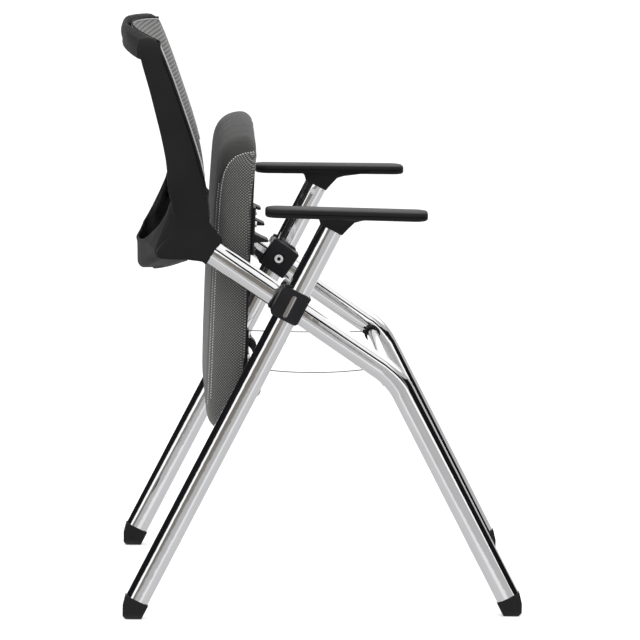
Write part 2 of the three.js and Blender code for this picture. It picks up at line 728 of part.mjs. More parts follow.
// How far the mesh hollows between the stiles, and how far its side edges lie behind their front
// line, as [depth share of the sweep, rise share]
const hollowShares = [
  [0.28, -0.18], [0.22, -0.15], [0.17, -0.1], [0.2, -0.03], [0.3, 0.05], [0.33, 0.12], [0.3, 0.31],
  [0.278, 0.62], [0.268, 1.04],
];
const tuckShares = [
  [0.25, -0.18], [0.235, -0.05], [0.21, 0], [0.12, 0.05], [0.02, 0.1], [0, 0.13], [0, 1.04],
];
const depthThrough = (shares) => {
  const line = lineThrough(shares);
  return (z) => line(z) - socketMouth.x;
};
const hollowAt = depthThrough(hollowShares);
const tuckAt = depthThrough(tuckShares);
const stileInner = frontLegSpread - stileWidth / 2;
const stileOuter = frontLegSpread + stileWidth / 2;
const backTop = socketMouth.y + backRise;
const backFoot = socketMouth.y - bowDrop;
const outShare = (x) => Math.abs(x) / stileInner;
const crownOf = (x) => 1 - Math.min(outShare(x), 1) ** 2;
const meshFront = (x, z) => frontLine(z) + tuckAt(z) + hollowAt(z) * crownOf(x);
const frameFront = (x, z) => meshFront(x, z) + meshThickness + meshGap;
const topEdge = (x) => backTop + topRailCrown * crownOf(x);
const bowLow = (x) => backFoot + bowLowRise * outShare(x) ** 1.15;
const bowHigh = (x) => backFoot + bowHeight + bowHighRise * outShare(x) ** 2.8;

function stile() {
  const half = tubeWidth / 2 + socketWall;
  const side = leftOf(railUp);
  const mouthTop = along(socketMouth, side, half);
  const mouthLow = along(socketMouth, side, -half);
  const share = ([sweep, rise]) => [socketMouth.x + sweep * backSweep, socketMouth.y + rise * backRise];
  const kneeShares = [
    [0.123, -0.0435], [0.293, -0.0344], [0.449, -0.0344], [0.523, -0.0314], [0.564, -0.0193],
    [0.551, 0.0079], [0.503, 0.0471], [0.459, 0.0773],
  ];
  const riseShares = [
    0.095, 0.125, 0.162, 0.213, 0.265, 0.32, 0.38, 0.434, 0.49, 0.546, 0.6, 0.658, 0.715, 0.769, 0.82,
    0.868, 0.92,
  ];
  const rear = riseShares.map((rise) => socketMouth.y + rise * backRise).map((z) => [rearLine(z), z]);
  const topShares = [[0.82, 0.993], [0.75, 1.01], [0.68, 1.003]];
  const frontShares = [
    0.967, 0.894, 0.806, 0.728, 0.662, 0.582, 0.513, 0.437, 0.369, 0.301, 0.233, 0.177, 0.135,
  ];
  const front = frontShares.map((rise) => socketMouth.y + rise * backRise)
    .map((z) => [frameFront(stileInner, z), z]);
  const shape = sideShape([
    [mouthTop.x, mouthTop.y],
    [mouthLow.x, mouthLow.y],
    ...kneeShares.map(share),
    ...rear,
    ...topShares.map(share),
    ...front,
  ]);
  return sidePlate(shape, stileInner, stileOuter, stileEdge);
}

// Stations across the back, the same for the sheet and the rails that carry it
const sheetHalf = stileInner - 2 * meshGap;
function stationsTo(reach) {
  const inner = Array.from({ length: sheetColumns + 1 }, (_, i) => sheetHalf * (2 * i / sheetColumns - 1));
  return [-reach, ...inner, reach];
}

// The top rail follows the mesh in front and has its own rear line
const topRailRear = (x) => socketMouth.x + backSweep * THREE.MathUtils.lerp(0.83, 0.99, crownOf(x));
function topRail() {
  const topLine = backTop + topRailCrown;
  const rings = [];
  for (const x of stationsTo(stileInner + cutOverrun)) {
    const [low, high] = [topLine - topRailHeight - (1 - crownOf(x)) * stileEdge, topEdge(x)];
    const middle = (low + high) / 2;
    const rearOf = (z) => topRailRear(x) - Math.max(z - (topLine - topRailHeight * 0.35), 0) * 0.5;
    const levels = [0, 0.25, 0.5, 0.75, 1].map(
      (share) => THREE.MathUtils.lerp(low + stileEdge, high - stileEdge, share));
    const outline = [
      ...levels.map((z) => [frameFront(x, z), z]),
      [(frameFront(x, high) + rearOf(high)) / 2, high],
      [rearOf(high - stileEdge), high - stileEdge],
      [rearOf(middle), middle],
      [rearOf(low + stileEdge), low + stileEdge],
      [(frameFront(x, low) + rearOf(low)) / 2, low],
    ];
    rings.push(outline.map(([y, z]) => new THREE.Vector3(x, y, z)));
  }
  return skin(rings);
}

// The bottom bow: a foot behind the mesh's lower edge and a wall that sweeps round from stile to stile
function bottomBow() {
  const end = stileOuter - stileEdge;
  const turnIn = (x) => bowEndTurn * Math.max((Math.abs(x) - stileInner) / (end - stileInner), 0) ** 2;
  const rearFace = (x, turnBy) => socketMouth.x + bowDepth - turnBy * outShare(x) ** 1.5 - turnIn(x);
  const inner = stationsTo(stileInner + cutOverrun);
  const rings = [];
  for (const x of [-end, -frontLegSpread, ...inner, frontLegSpread, end]) {
    const [low, high] = [bowLow(x), bowHigh(x)];
    const outer = (z) => THREE.MathUtils.lerp(
      rearFace(x, bowLowTurn), rearFace(x, bowHighTurn), (z - low) / (high - low));
    const front = (z) => frameFront(x, z) + meshGap;
    const floor = low + bowWall;
    const middle = (floor + high) / 2;
    const outline = [
      [front(low + seatGap), low + seatGap],
      [front(floor), floor],
      [outer(floor) - bowWall * 1.5, floor],
      [outer(floor) - bowWall, floor + bowWall / 2],
      [outer(middle) - bowWall, middle],
      [outer(high) - bowWall * 0.85, high - bowWall / 3],
      [outer(high) - bowWall / 2, high],
      [outer(high), high - bowWall / 3],
      [outer(middle), middle],
      [outer(low + bowEdge), low + bowEdge],
      [outer(low) - bowEdge * 0.3, low + bowEdge * 0.35],
      [outer(low) - bowEdge * 0.8, low],
    ];
    rings.push(outline.map(([y, z]) => new THREE.Vector3(x, y, z)));
  }
  return skin(rings);
}

// The socket's tongue lies on the tube's outer side
function socketTongueStrip() {
  const shape = roundedShape(tongueWidth, socketTongue * 2, tongueWidth / 3);
  const strip = sidePlate(shape, frontLegOuter + seatGap, frontLegOuter + seatGap + tongueThickness);
  return turnToLeg(strip, railUp, socketMouth);
}

const legBore = skin([-cutOverrun, socketDepth + cutOverrun].map(
  (d) => legRing(along(socketMouth, railUp, d), railUp, boreLoop, frontLegSpread)));
const leftStile = joined(stile(), socketTongueStrip());

// Mesh: one sheet over the stiles' front faces, hollowed between them
function sheet() {
  const upperHalf = stileOuter - meshMargin;
  const lowerHalf = stileInner - meshGap;
  const narrowing = (z) => THREE.MathUtils.smoothstep(
    z, socketMouth.y + backRise * 0.135, socketMouth.y + backRise * 0.208);
  const rows = Array.from({ length: sheetRows + 1 }, (_, i) => (i / sheetRows) ** sheetCrowding);
  const points = [];
  for (const shift of [0, meshThickness]) {
    for (const v of rows) {
      const guess = THREE.MathUtils.lerp(backFoot, backTop, v);
      const columns = stationsTo(THREE.MathUtils.lerp(lowerHalf, upperHalf, narrowing(guess)));
      for (const x of columns) {
        const u = x / stileOuter;
        const low = bowLow(x) - stileEdge / 2;
        const high = topEdge(x) - meshMargin - (Math.abs(u) ** 12) * meshMargin;
        const z = THREE.MathUtils.lerp(low, high, v);
        points.push(new THREE.Vector3(x, meshFront(x, z) + shift, z));
      }
    }
  }
  const wide = sheetColumns + 3;
  const layer = wide * rows.length;
  const triangles = [];
  const border = [];
  for (let row = 0; row + 1 < rows.length; row += 1) {
    for (let column = 0; column + 1 < wide; column += 1) {
      const a = row * wide + column;
      const [b, c, d] = [a + 1, a + wide, a + wide + 1];
      triangles.push(a, b, d, a, d, c);
      triangles.push(layer + a, layer + d, layer + b, layer + a, layer + c, layer + d);
    }
  }
  for (let i = 0; i + 1 < wide; i += 1) border.push(i);
  for (let i = 0; i + 1 < rows.length; i += 1) border.push(i * wide + wide - 1);
  for (let i = wide - 1; i > 0; i -= 1) border.push((rows.length - 1) * wide + i);
  for (let i = rows.length - 1; i > 0; i -= 1) border.push(i * wide);
  border.forEach((a, i) => {
    const b = border[(i + 1) % border.length];
    triangles.push(b, a, layer + a, b, layer + a, layer + b);
  });
  return meshFrom(points, triangles);
}
addPart('back_mesh', 'mesh', sheet());

// Rounded upper corners, seen from the front
function backOutline() {
  const reach = stileOuter + cutOverrun;
  const shape = new THREE.Shape();
  shape.moveTo(reach, backFoot - cutOverrun);
  shape.lineTo(stileOuter, backTop - backCorner);
  shape.absarc(stileOuter - backCorner, backTop - backCorner, backCorner, 0, Math.PI / 2, false);
  shape.quadraticCurveTo(0, backTop + 2 * topRailCrown, -stileOuter + backCorner, backTop);
  shape.absarc(-stileOuter + backCorner, backTop - backCorner, backCorner, Math.PI / 2, Math.PI, false);
  shape.lineTo(-reach, backFoot - cutOverrun);
  shape.closePath();
  const geometry = new THREE.ExtrudeGeometry(
    shape, { depth: backSweep * 2, bevelEnabled: false, curveSegments: 6 });
  geometry.rotateX(Math.PI / 2);
  geometry.translate(0, socketMouth.x + backSweep * 1.5, 0);
  return geometry;
}
const backRaw = cut(
  joined(leftStile, mirrored(leftStile), topRail(), bottomBow()),
  legBore, mirrored(legBore), socketScrewHole, mirrored(socketScrewHole));
const backFrame = geometryOf(solidOf(backRaw).intersect(solidOf(backOutline())));
addPart('back_frame', 'plastic', backFrame);
addPair('socket_screw', 'steel',
  screwX(stileInner - seatGap, socketScrewPlace.x, socketScrewPlace.y));

// Seat: everything below turns about the rear cross tube
const seat = new THREE.Group();
seat.position.set(0, pivot.x, pivot.y);
seat.rotation.x = seatLean * turn;
chair.add(seat);

// The cushion's outline at one level: x across, "along" towards the front edge
function cushionLoop(front, side, rear) {
  const half = cushionHalfWidth - side;
  const tip = cushionFront - front;
  const back = -cushionRear + rear;
  const corner = cushionCorner * (half / cushionHalfWidth);
  const points = [];
  const corners = 5;
  const sides = 8;
  const bow = (x) => cushionBow * Math.min(Math.abs(x) / half, 1) ** 2;
  const draw = (s) => cushionDraw * (1 - (2 * (s - back) / (tip - back) - 1) ** 2);
  const drawn = (x, s) => Math.abs(x) - draw(s) * Math.min(Math.abs(x) / half, 1) ** 4;
  const push = (x, s) => points.push([Math.sign(x) * drawn(x, s), s]);
  const arc = (cx, cy, start) => {
    for (let i = 0; i <= corners; i += 1) {
      const angle = start + (i / corners) * Math.PI / 2;
      const x = cx + corner * Math.cos(angle);
      push(x, cy + corner * Math.sin(angle) - (cy > 0 ? bow(x) : 0));
    }
  };
  const run = (x0, s0, x1, s1, bowed) => {
    for (let i = 1; i < sides; i += 1) {
      const x = THREE.MathUtils.lerp(x0, x1, i / sides);
      push(x, THREE.MathUtils.lerp(s0, s1, i / sides) - (bowed ? bow(x) : 0));
    }
  };
  arc(half - corner, back + corner, -Math.PI / 2);
  run(half, back + corner, half, tip - corner - cushionBow, false);
  arc(half - corner, tip - corner, 0);
  run(half - corner, tip, -half + corner, tip, true);
  arc(-half + corner, tip - corner, Math.PI / 2);
  run(-half, tip - corner - cushionBow, -half, back + corner, false);
  arc(-half + corner, back + corner, Math.PI);
  run(-half + corner, back, half - corner, back, false);
  return points;
}

// Levels of the cushion: thickness share, then insets as shares of the thickness
const cushionShares = [ // [level, front, side, rear]
  [0, 0.19, 0.1, 0.17],
  [0.09, 0.09, 0.04, 0.1],
  [0.2, 0.02, 0.01, 0.05],
  [0.36, 0, 0, 0],
  [0.56, 0.03, 0.012, 0.01],
  [0.74, 0.13, 0.03, 0.09],
  [0.87, 0.28, 0.09, 0.2],
  [0.955, 0.47, 0.19, 0.36],
  [1, 0.72, 0.38, 0.6],
];
const crownShares = [[0.42, 1.6, 1.1, 1.3], [0.78, 2.5, 2.05, 2.2], [1, 3.2, 3.1, 2.9]];

function cushionBody() {
  const ring = ([level, front, side, rear], rise) => cushionLoop(
    front * cushionThickness, side * cushionThickness, rear * cushionThickness)
    .map(([x, s]) => new THREE.Vector3(x, rise, s));
  const rings = cushionShares.map((row) => ring(row, undersideRise + row[0] * cushionThickness));
  for (const row of crownShares) {
    rings.push(ring(row, undersideRise + cushionThickness + row[0] * cushionCrown));
  }
  return skin(rings);
}

// The board under the cushion, grown all round by a gap for its pocket
function boardSolid(gap, low, high) {
  const loop = cushionLoop(boardInset - gap, boardSideInset - gap, boardInset - gap);
  return skin([low, high].map((rise) => loop.map(([x, s]) => new THREE.Vector3(x, rise, s))));
}
const pocket = boardSolid(seatGap, undersideRise - cutOverrun, undersideRise + boardThickness + seatGap);
addPart('seat_cushion', 'fabric', cut(cushionBody(), pocket), seat);

// Screws under the seat: heads on the plates, shanks up into the board
const plateFoot = undersideRise - seatGap - plateThickness;
const tubeDistance = frontTube.distanceTo(pivot);
const hookFace = tubeDistance + crossTubeRadius + runningGap;
const hookPlateStart = tubeDistance - hookPlateRear;
const hookPlateEnd = hookFace + hookPlateFront;
const screwPair = (end, edge, pitch) => [end - edge - pitch, end - edge];
const hookScrewPlaces = screwPair(hookPlateEnd, hookScrewEdge, hookScrewPitch);
const bearingScrewPlaces = screwPair(bearingPlateEnd, bearingScrewEdge, bearingScrewPitch);
function seatScrew(x, s) {
  const head = new THREE.CylinderGeometry(screwHeadRadius, screwHeadRadius, screwHeadHeight, screwSteps);
  head.translate(x, plateFoot - seatGap - screwHeadHeight / 2, s);
  const shank = new THREE.CylinderGeometry(screwRadius, screwRadius, screwLength + screwHeadHeight / 2, screwSteps);
  shank.translate(x, plateFoot - seatGap + screwLength / 2 - screwHeadHeight / 4, s);
  return joined(head, shank);
}
function screwBore(x, s, high) {
  const bore = new THREE.CylinderGeometry(
    screwRadius + screwHole, screwRadius + screwHole, high - plateFoot + cutOverrun, screwSteps);
  bore.translate(x, (high + plateFoot - cutOverrun) / 2, s);
  return bore;
}
const sideNames = new Map([[-1, 'right'], [0, 'centre'], [1, 'left']]);
const endNames = ['rear', 'front'];
const screwPlaces = [
  ...[-1, 0, 1].flatMap((side) => hookScrewPlaces.map((s, i) => (
    { name: `hook_screw_${sideNames.get(side)}_${endNames[i]}`, x: side * hookSpread, s }))),
  ...[-1, 1].flatMap((side) => bearingScrewPlaces.map((s, i) => (
    { name: `bearing_screw_${sideNames.get(side)}_${endNames[i]}`, x: side * bearingSpread, s }))),
];
const boardBores = screwPlaces.map(({ x, s }) => screwBore(x, s, undersideRise + boardThickness + cutOverrun));
const collarStart = bearingSpread + bearingWidth / 2 + seatGap;
const collarRelief = pinX(
  collarRadius + runningGap, collarStart - runningGap, collarStart + collarWidth + runningGap);
addPart('seat_board', 'plastic', cut(
  boardSolid(0, undersideRise, undersideRise + boardThickness),
  ...boardBores, collarRelief, mirrored(collarRelief)), seat);
for (const { name, x, s } of screwPlaces) addPart(name, 'steel', seatScrew(x, s), seat);

// A hook: a plate on the board, and a claw that drops behind the front cross tube
function seatHook(x) {
  const plateShape = sideShape([
    [plateFoot, hookPlateStart], [undersideRise - seatGap, hookPlateStart],
    [undersideRise - seatGap, hookPlateEnd], [plateFoot, hookPlateEnd],
  ]);
  const plate = sidePlate(plateShape, x - hookWidth / 2, x + hookWidth / 2, plateEdge);
  const shape = new THREE.Shape();
  shape.moveTo(plateFoot + plateThickness / 2, hookFace - hookRoot / 4);
  shape.quadraticCurveTo(plateFoot - hookReach / 4, hookFace, plateFoot - hookReach, hookFace);
  shape.lineTo(plateFoot - hookReach - hookTip / 3, hookFace + hookTip / 2);
  shape.lineTo(plateFoot - hookReach, hookFace + hookTip);
  shape.quadraticCurveTo(
    plateFoot - hookReach / 2, hookFace + hookTip + hookRoot / 3,
    plateFoot + plateThickness / 2, hookFace + hookRoot);
  shape.closePath();
  const claw = sidePlate(shape, x - hookWidth / 2 + plateEdge, x + hookWidth / 2 - plateEdge, plateEdge, 5);
  const bores = hookScrewPlaces.map((s) => screwBore(x, s, undersideRise + cutOverrun));
  return cut(joined(plate, claw), ...bores);
}
addPart('seat_hook_centre', 'plastic', seatHook(0), seat);
addPair('seat_hook', 'plastic', seatHook(hookSpread), seat);

// A bearing: a plate on the board, and a ring round the rear cross tube
function seatBearing(x) {
  const [low, high] = [x - bearingWidth / 2, x + bearingWidth / 2];
  const plateShape = sideShape([
    [plateFoot, bearingPlateStart], [undersideRise - seatGap, bearingPlateStart],
    [undersideRise - seatGap, bearingPlateEnd], [plateFoot, bearingPlateEnd],
  ]);
  const plate = sidePlate(plateShape, low, high, plateEdge);
  const ringShape = new THREE.Shape();
  ringShape.absarc(0, 0, bearingRadius, 0, Math.PI * 2, false);
  const ring = sidePlate(ringShape, low, high, plateEdge, roundSteps / 2);
  const far = bearingRadius + cutOverrun;
  const slice = box([low - cutOverrun, undersideRise - seatGap, -far], [high + cutOverrun, far, far]);
  const bore = pinX(crossTubeRadius + seatGap, low - cutOverrun, high + cutOverrun);
  const bores = bearingScrewPlaces.map((s) => screwBore(x, s, undersideRise + cutOverrun));
  return cut(joined(plate, ring), slice, bore, ...bores);
}
addPair('seat_bearing', 'plastic', seatBearing(bearingSpread), seat);

// Collars that keep the bearings in place along the rear cross tube
addPair('pivot_collar', 'steel', cut(
  pinX(collarRadius, collarStart, collarStart + collarWidth, pivot.x, pivot.y),
  pinX(crossTubeRadius + seatGap, collarStart - cutOverrun, collarStart + collarWidth + cutOverrun,
    pivot.x, pivot.y)));

// Book wires, each held by a clip on either cross tube
const clipOuter = crossTubeRadius + seatGap + clipWall;
function wireClip(tube, eye) {
  const [low, high] = [wireSpread - clipWidth / 2, wireSpread + clipWidth / 2];
  const ring = pinX(clipOuter, low, high, tube.x, tube.y);
  const way = eye.clone().sub(tube).normalize();
  const length = eye.distanceTo(tube) + clipLug / 2;
  const lug = sidePlate(roundedShape(clipLug, length, clipLug / 3, 0, length / 2), low, high);
  turnToLeg(lug, way, tube);
  return cut(
    joined(ring, lug), pinX(crossTubeRadius + seatGap, low - cutOverrun, high + cutOverrun, tube.x, tube.y));
}

function bookWire(x, start, end, sag) {
  const rings = [];
  for (let i = 0; i <= wireSteps; i += 1) {
    const t = i / wireSteps;
    const place = start.clone().lerp(end, t);
    const slope = Math.atan2(end.y - start.y - sag * 4 * (1 - 2 * t), end.x - start.x);
    const ring = [];
    for (let k = 0; k < wireSides; k += 1) {
      const angle = 2 * Math.PI * k / wireSides;
      const [out, up] = [wireRadius * Math.cos(angle), wireRadius * Math.sin(angle)];
      ring.push(new THREE.Vector3(
        x + out, place.x - up * Math.sin(slope), place.y - sag * 4 * t * (1 - t) + up * Math.cos(slope)));
    }
    rings.push(ring);
  }
  return skin(rings);
}

for (const [side, rearRise, frontRise, sag] of [
  ['left', wireRiseLeft, wireFrontRiseLeft, wireSagLeft],
  ['right', wireRiseRight, wireFrontRiseRight, wireSagRight],
]) {
  const rearEye = flat2(pivot.x, pivot.y + rearRise);
  const frontEye = flat2(frontTube.x + clipOuter, frontTube.y + frontRise);
  const turned = side === 'left' ? (geometry) => geometry : mirrored;
  addPart(`wire_clip_rear_${side}`, 'plastic', turned(wireClip(pivot, rearEye)));
  addPart(`wire_clip_front_${side}`, 'plastic', turned(wireClip(frontTube, frontEye)));
  const start = flat2(rearEye.x - clipLug / 2 - seatGap, rearEye.y);
  const end = flat2(frontEye.x + clipLug / 2 + 2 * seatGap, frontEye.y);
  addPart(`book_wire_${side}`, 'cord', turned(bookWire(wireSpread, start, end, sag)));
}

// The origin lies on the floor, under the middle of the whole chair
chair.updateMatrixWorld(true);
const bounds = new THREE.Box3().setFromObject(chair, true);
chair.position.set(0, -(bounds.min.y + bounds.max.y) / 2, -bounds.min.z);

export default chair;
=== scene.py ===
import math

import bmesh
import bpy
from mathutils import Matrix, Vector
from mathutils.bvhtree import BVHTree


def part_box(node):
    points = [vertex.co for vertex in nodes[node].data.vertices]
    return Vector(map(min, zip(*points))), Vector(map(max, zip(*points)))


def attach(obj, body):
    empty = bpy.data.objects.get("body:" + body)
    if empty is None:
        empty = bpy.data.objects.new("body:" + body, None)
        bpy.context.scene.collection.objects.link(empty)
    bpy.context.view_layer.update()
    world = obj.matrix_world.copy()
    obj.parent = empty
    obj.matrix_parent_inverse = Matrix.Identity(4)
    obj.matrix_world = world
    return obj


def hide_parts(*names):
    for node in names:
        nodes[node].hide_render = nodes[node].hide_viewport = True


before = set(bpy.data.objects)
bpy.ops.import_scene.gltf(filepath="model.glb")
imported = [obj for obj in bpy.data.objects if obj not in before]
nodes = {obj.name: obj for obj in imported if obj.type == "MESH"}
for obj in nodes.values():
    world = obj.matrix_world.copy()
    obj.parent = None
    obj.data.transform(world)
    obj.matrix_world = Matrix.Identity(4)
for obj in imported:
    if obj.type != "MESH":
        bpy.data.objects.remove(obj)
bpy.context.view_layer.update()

# The view: a long lens a little above the armrests, square to the chair's right side.
axle_low, axle_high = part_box("rear_cross_tube")
axle_y = (axle_low.y + axle_high.y) / 2
axle_z = (axle_low.z + axle_high.z) / 2
view = bpy.data.cameras.new("view")
view.lens = 226.9
view.sensor_width = 36
view.clip_end = 50
camera = bpy.data.objects.new("camera", view)
bpy.context.scene.collection.objects.link(camera)
camera.location = (-6.4314, axle_y + 0.19196, 1.46652)
camera.rotation_euler = [math.radians(turn) for turn in (80.8632, -0.9847, -92.5765)]
bpy.context.scene.camera = camera


# Legs and cross tubes: flat-sided oval steel tube and round tube, bent, welded and chrome plated.
# Each is one welded skin, smooth along its bends, and stands for its solid of the frame.
def make_active(piece):
    bpy.ops.object.select_all(action="DESELECT")
    bpy.context.view_layer.objects.active = piece
    piece.select_set(True)


def shaped(piece, kind, **settings):
    # one modifier, set and applied at once; the piece is the active one
    change = piece.modifiers.new(kind.lower(), kind)
    for name, value in settings.items():
        setattr(change, name, value)
    bpy.ops.object.modifier_apply(modifier=change.name)


def welded_copy(node, smooth=40):
    weld = 0.00002
    piece = bpy.data.objects.new(f"{node}_skin", nodes[node].data.copy())
    bpy.context.scene.collection.objects.link(piece)
    make_active(piece)
    if piece.data.has_custom_normals:
        bpy.ops.mesh.customdata_custom_splitnormals_clear()
    bpy.ops.object.mode_set(mode="EDIT")
    bpy.ops.mesh.select_all(action="SELECT")
    bpy.ops.mesh.remove_doubles(threshold=weld)
    bpy.ops.object.mode_set(mode="OBJECT")
    bpy.ops.object.shade_smooth_by_angle(angle=math.radians(smooth))
    return piece


def stand_in(piece, node, material, body="frame"):
    piece.data.materials.clear()
    piece.data.materials.append(material)
    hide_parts(node)
    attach(piece, body)


def add_node(tree, kind, settings=None, **inputs):
    node = tree.nodes.new("ShaderNode" + kind)
    for name, value in (settings or {}).items():
        setattr(node, name, value)
    for name, value in inputs.items():
        socket = node.inputs[name.replace("_", " ")]
        if isinstance(value, bpy.types.NodeSocket):
            tree.links.new(value, socket)
        else:
            socket.default_value = value
    return node


def calc(tree, operation, *values):
    node = tree.nodes.new("ShaderNodeMath")
    node.operation = operation
    for socket, value in zip(node.inputs, values):
        if isinstance(value, bpy.types.NodeSocket):
            tree.links.new(value, socket)
        else:
            socket.default_value = value
    return node.outputs[0]


def object_place(tree):
    return add_node(tree, "TexCoord").outputs["Object"]


def between(tree, mask, low, high):
    return add_node(tree, "MapRange", Value=mask, To_Min=low, To_Max=high).outputs[0]


def relief_on(tree, shader, height, strength, distance):
    bump = add_node(tree, "Bump", Height=height, Strength=strength, Distance=distance)
    tree.links.new(bump.outputs[0], shader.inputs["Normal"])


def blank_material(name):
    material = bpy.data.materials.new(name)
    material.use_nodes = True
    tree = material.node_tree
    return material, tree, tree.nodes["Principled BSDF"]


def surface_group(name, floats, outputs):
    group = bpy.data.node_groups.new(name, "ShaderNodeTree")
    for label, value in floats:
        socket = group.interface.new_socket(label, in_out="INPUT", socket_type="NodeSocketFloat")
        socket.default_value = value
    for label, kind in outputs:
        group.interface.new_socket(label, in_out="OUTPUT", socket_type="NodeSocket" + kind)
    return group, group.nodes.new("NodeGroupInput"), group.nodes.new("NodeGroupOutput")


def use_group(tree, group, **values):
    node = tree.nodes.new("ShaderNodeGroup")
    node.node_tree = group
    for name, value in values.items():
        node.inputs[name].default_value = value
    return node


# soft smears and fine specks that any handled surface has
smears, smears_in, smears_out = surface_group(
    "smears", [("Size", 30.0), ("Sharpness", 2.0)], [("Smear", "Float"), ("Speck", "Float")])
place = object_place(smears)
broad = add_node(smears, "TexNoise", Vector=place, Scale=smears_in.outputs["Size"], Detail=4.0)
fine = add_node(
    smears, "TexNoise", Vector=place, Scale=calc(smears, "MULTIPLY", smears_in.outputs["Size"], 24.0))
spread = calc(
    smears, "MULTIPLY", calc(smears, "SUBTRACT", broad.outputs["Fac"], 0.5), smears_in.outputs["Sharpness"])
smears.links.new(calc(smears, "ADD", spread, 0.5), smears_out.inputs["Smear"])
smears.links.new(fine.outputs["Fac"], smears_out.inputs["Speck"])

chrome, tree, shine = blank_material("chrome_plate")
shine.inputs["Metallic"].default_value = 1.0
smear = use_group(tree, smears, Size=26.0, Sharpness=1.6)
tint = between(tree, smear.outputs["Smear"], 0.56, 0.6)
tone = add_node(tree, "CombineColor", Red=tint, Green=tint, Blue=calc(tree, "MULTIPLY", tint, 1.01))
tree.links.new(tone.outputs[0], shine.inputs["Base Color"])
tree.links.new(between(tree, smear.outputs["Smear"], 0.02, 0.05), shine.inputs["Roughness"])
ripple = add_node(tree, "TexNoise", Vector=object_place(tree), Scale=60.0)
relief_on(tree, shine, ripple.outputs["Fac"], 0.04, 0.002)

# the front legs' ends stop a little short inside the back's sockets
socket_y, socket_z = 0.222, 0.55
tip_gap = Vector((0, 0.011, 0.0088))
for node in ("rear_leg_left", "rear_leg_right", "front_leg_left", "front_leg_right"):
    leg = welded_copy(node, smooth=50)
    for vert in leg.data.vertices:
        if vert.co.y > socket_y and vert.co.z > socket_z:
            vert.co -= tip_gap
    shaped(leg, "WEIGHTED_NORMAL", weight=100, keep_sharp=True)
    stand_in(leg, node, chrome)
for node in ("rear_cross_tube", "front_cross_tube"):
    stand_in(welded_copy(node, smooth=50), node, chrome)


# Feet: caps moulded in matte black plastic, each plugged into the end of its leg tube. The floor wears
# their flat soles grey.
def rounded(piece, width):
    # flat faces are joined first, then the edges between them are rounded as a mould leaves them
    make_active(piece)
    bpy.ops.object.mode_set(mode="EDIT")
    bpy.ops.mesh.select_all(action="SELECT")
    bpy.ops.mesh.dissolve_limited(angle_limit=math.radians(1))
    bpy.ops.object.mode_set(mode="OBJECT")
    shaped(piece, "BEVEL", width=width, segments=2, limit_method="ANGLE", angle_limit=math.radians(30),
           use_clamp_overlap=True)
    bpy.ops.object.shade_smooth_by_angle(angle=math.radians(40))


def two_tone(tree, mask, low, high):
    mix = add_node(tree, "Mix", {"data_type": "RGBA"})
    tree.links.new(mask, mix.inputs["Factor"])
    for socket, colour in ((6, low), (7, high)):
        mix.inputs[socket].default_value = (*colour, 1)
    return mix.outputs[2]


foot_plastic, tree, shell = blank_material("foot_plastic")
smear = use_group(tree, smears, Size=18.0, Sharpness=2.2)
height = add_node(tree, "SeparateXYZ", Vector=object_place(tree))
sole = add_node(tree, "MapRange", Value=height.outputs["Z"], From_Min=0.0, From_Max=0.009,
                To_Min=0.6, To_Max=0.0)
worn = calc(tree, "MULTIPLY", sole.outputs[0], smear.outputs["Smear"])
tone = two_tone(tree, worn, (0.007, 0.007, 0.007), (0.07, 0.068, 0.065))
tree.links.new(tone, shell.inputs["Base Color"])
tree.links.new(between(tree, smear.outputs["Smear"], 0.5, 0.66), shell.inputs["Roughness"])
shell.inputs["Specular IOR Level"].default_value = 0.2
relief_on(tree, shell, smear.outputs["Speck"], 0.25, 0.0004)

for node in ("rear_foot_left", "rear_foot_right", "front_foot_left", "front_foot_right"):
    cap = welded_copy(node)
    rounded(cap, width=0.0009)
    stand_in(cap, node, foot_plastic)


# Clamps: two blocks of glass-filled nylon a side, pulled together through both legs by one bolt.
# The plastic has a fine spark-eroded grain, a little brighter where hands and seats rub it.
def grey(tree, value):
    return add_node(tree, "CombineColor", Red=value, Green=value, Blue=value).outputs[0]


def moulded_black(name, tone_low, tone_high, rough_low, rough_high, grain=0.3, size=14.0, shine=0.2):
    material, tree, shell = blank_material(name)
    smear = use_group(tree, smears, Size=size, Sharpness=2.0)
    tone = two_tone(tree, smear.outputs["Smear"], tone_low, tone_high)
    tree.links.new(tone, shell.inputs["Base Color"])
    tree.links.new(between(tree, smear.outputs["Smear"], rough_low, rough_high), shell.inputs["Roughness"])
    shell.inputs["Specular IOR Level"].default_value = shine
    relief_on(tree, shell, smear.outputs["Speck"], grain, 0.0003)
    return material


clamp_plastic = moulded_black(
    "clamp_plastic", (0.005, 0.005, 0.006), (0.01, 0.01, 0.012), 0.42, 0.54, size=30.0)
for node in ("rear_leg_clamp_left", "rear_leg_clamp_right", "front_leg_clamp_left", "front_leg_clamp_right"):
    block = welded_copy(node)
    rounded(block, width=0.0006)
    stand_in(block, node, clamp_plastic)

steel, tree, metal = blank_material("zinc_steel")
metal.inputs["Metallic"].default_value = 1.0
smear = use_group(tree, smears, Size=60.0, Sharpness=2.0)
tint = between(tree, smear.outputs["Smear"], 0.7, 0.85)
tree.links.new(grey(tree, tint), metal.inputs["Base Color"])
tree.links.new(between(tree, smear.outputs["Smear"], 0.3, 0.45), metal.inputs["Roughness"])
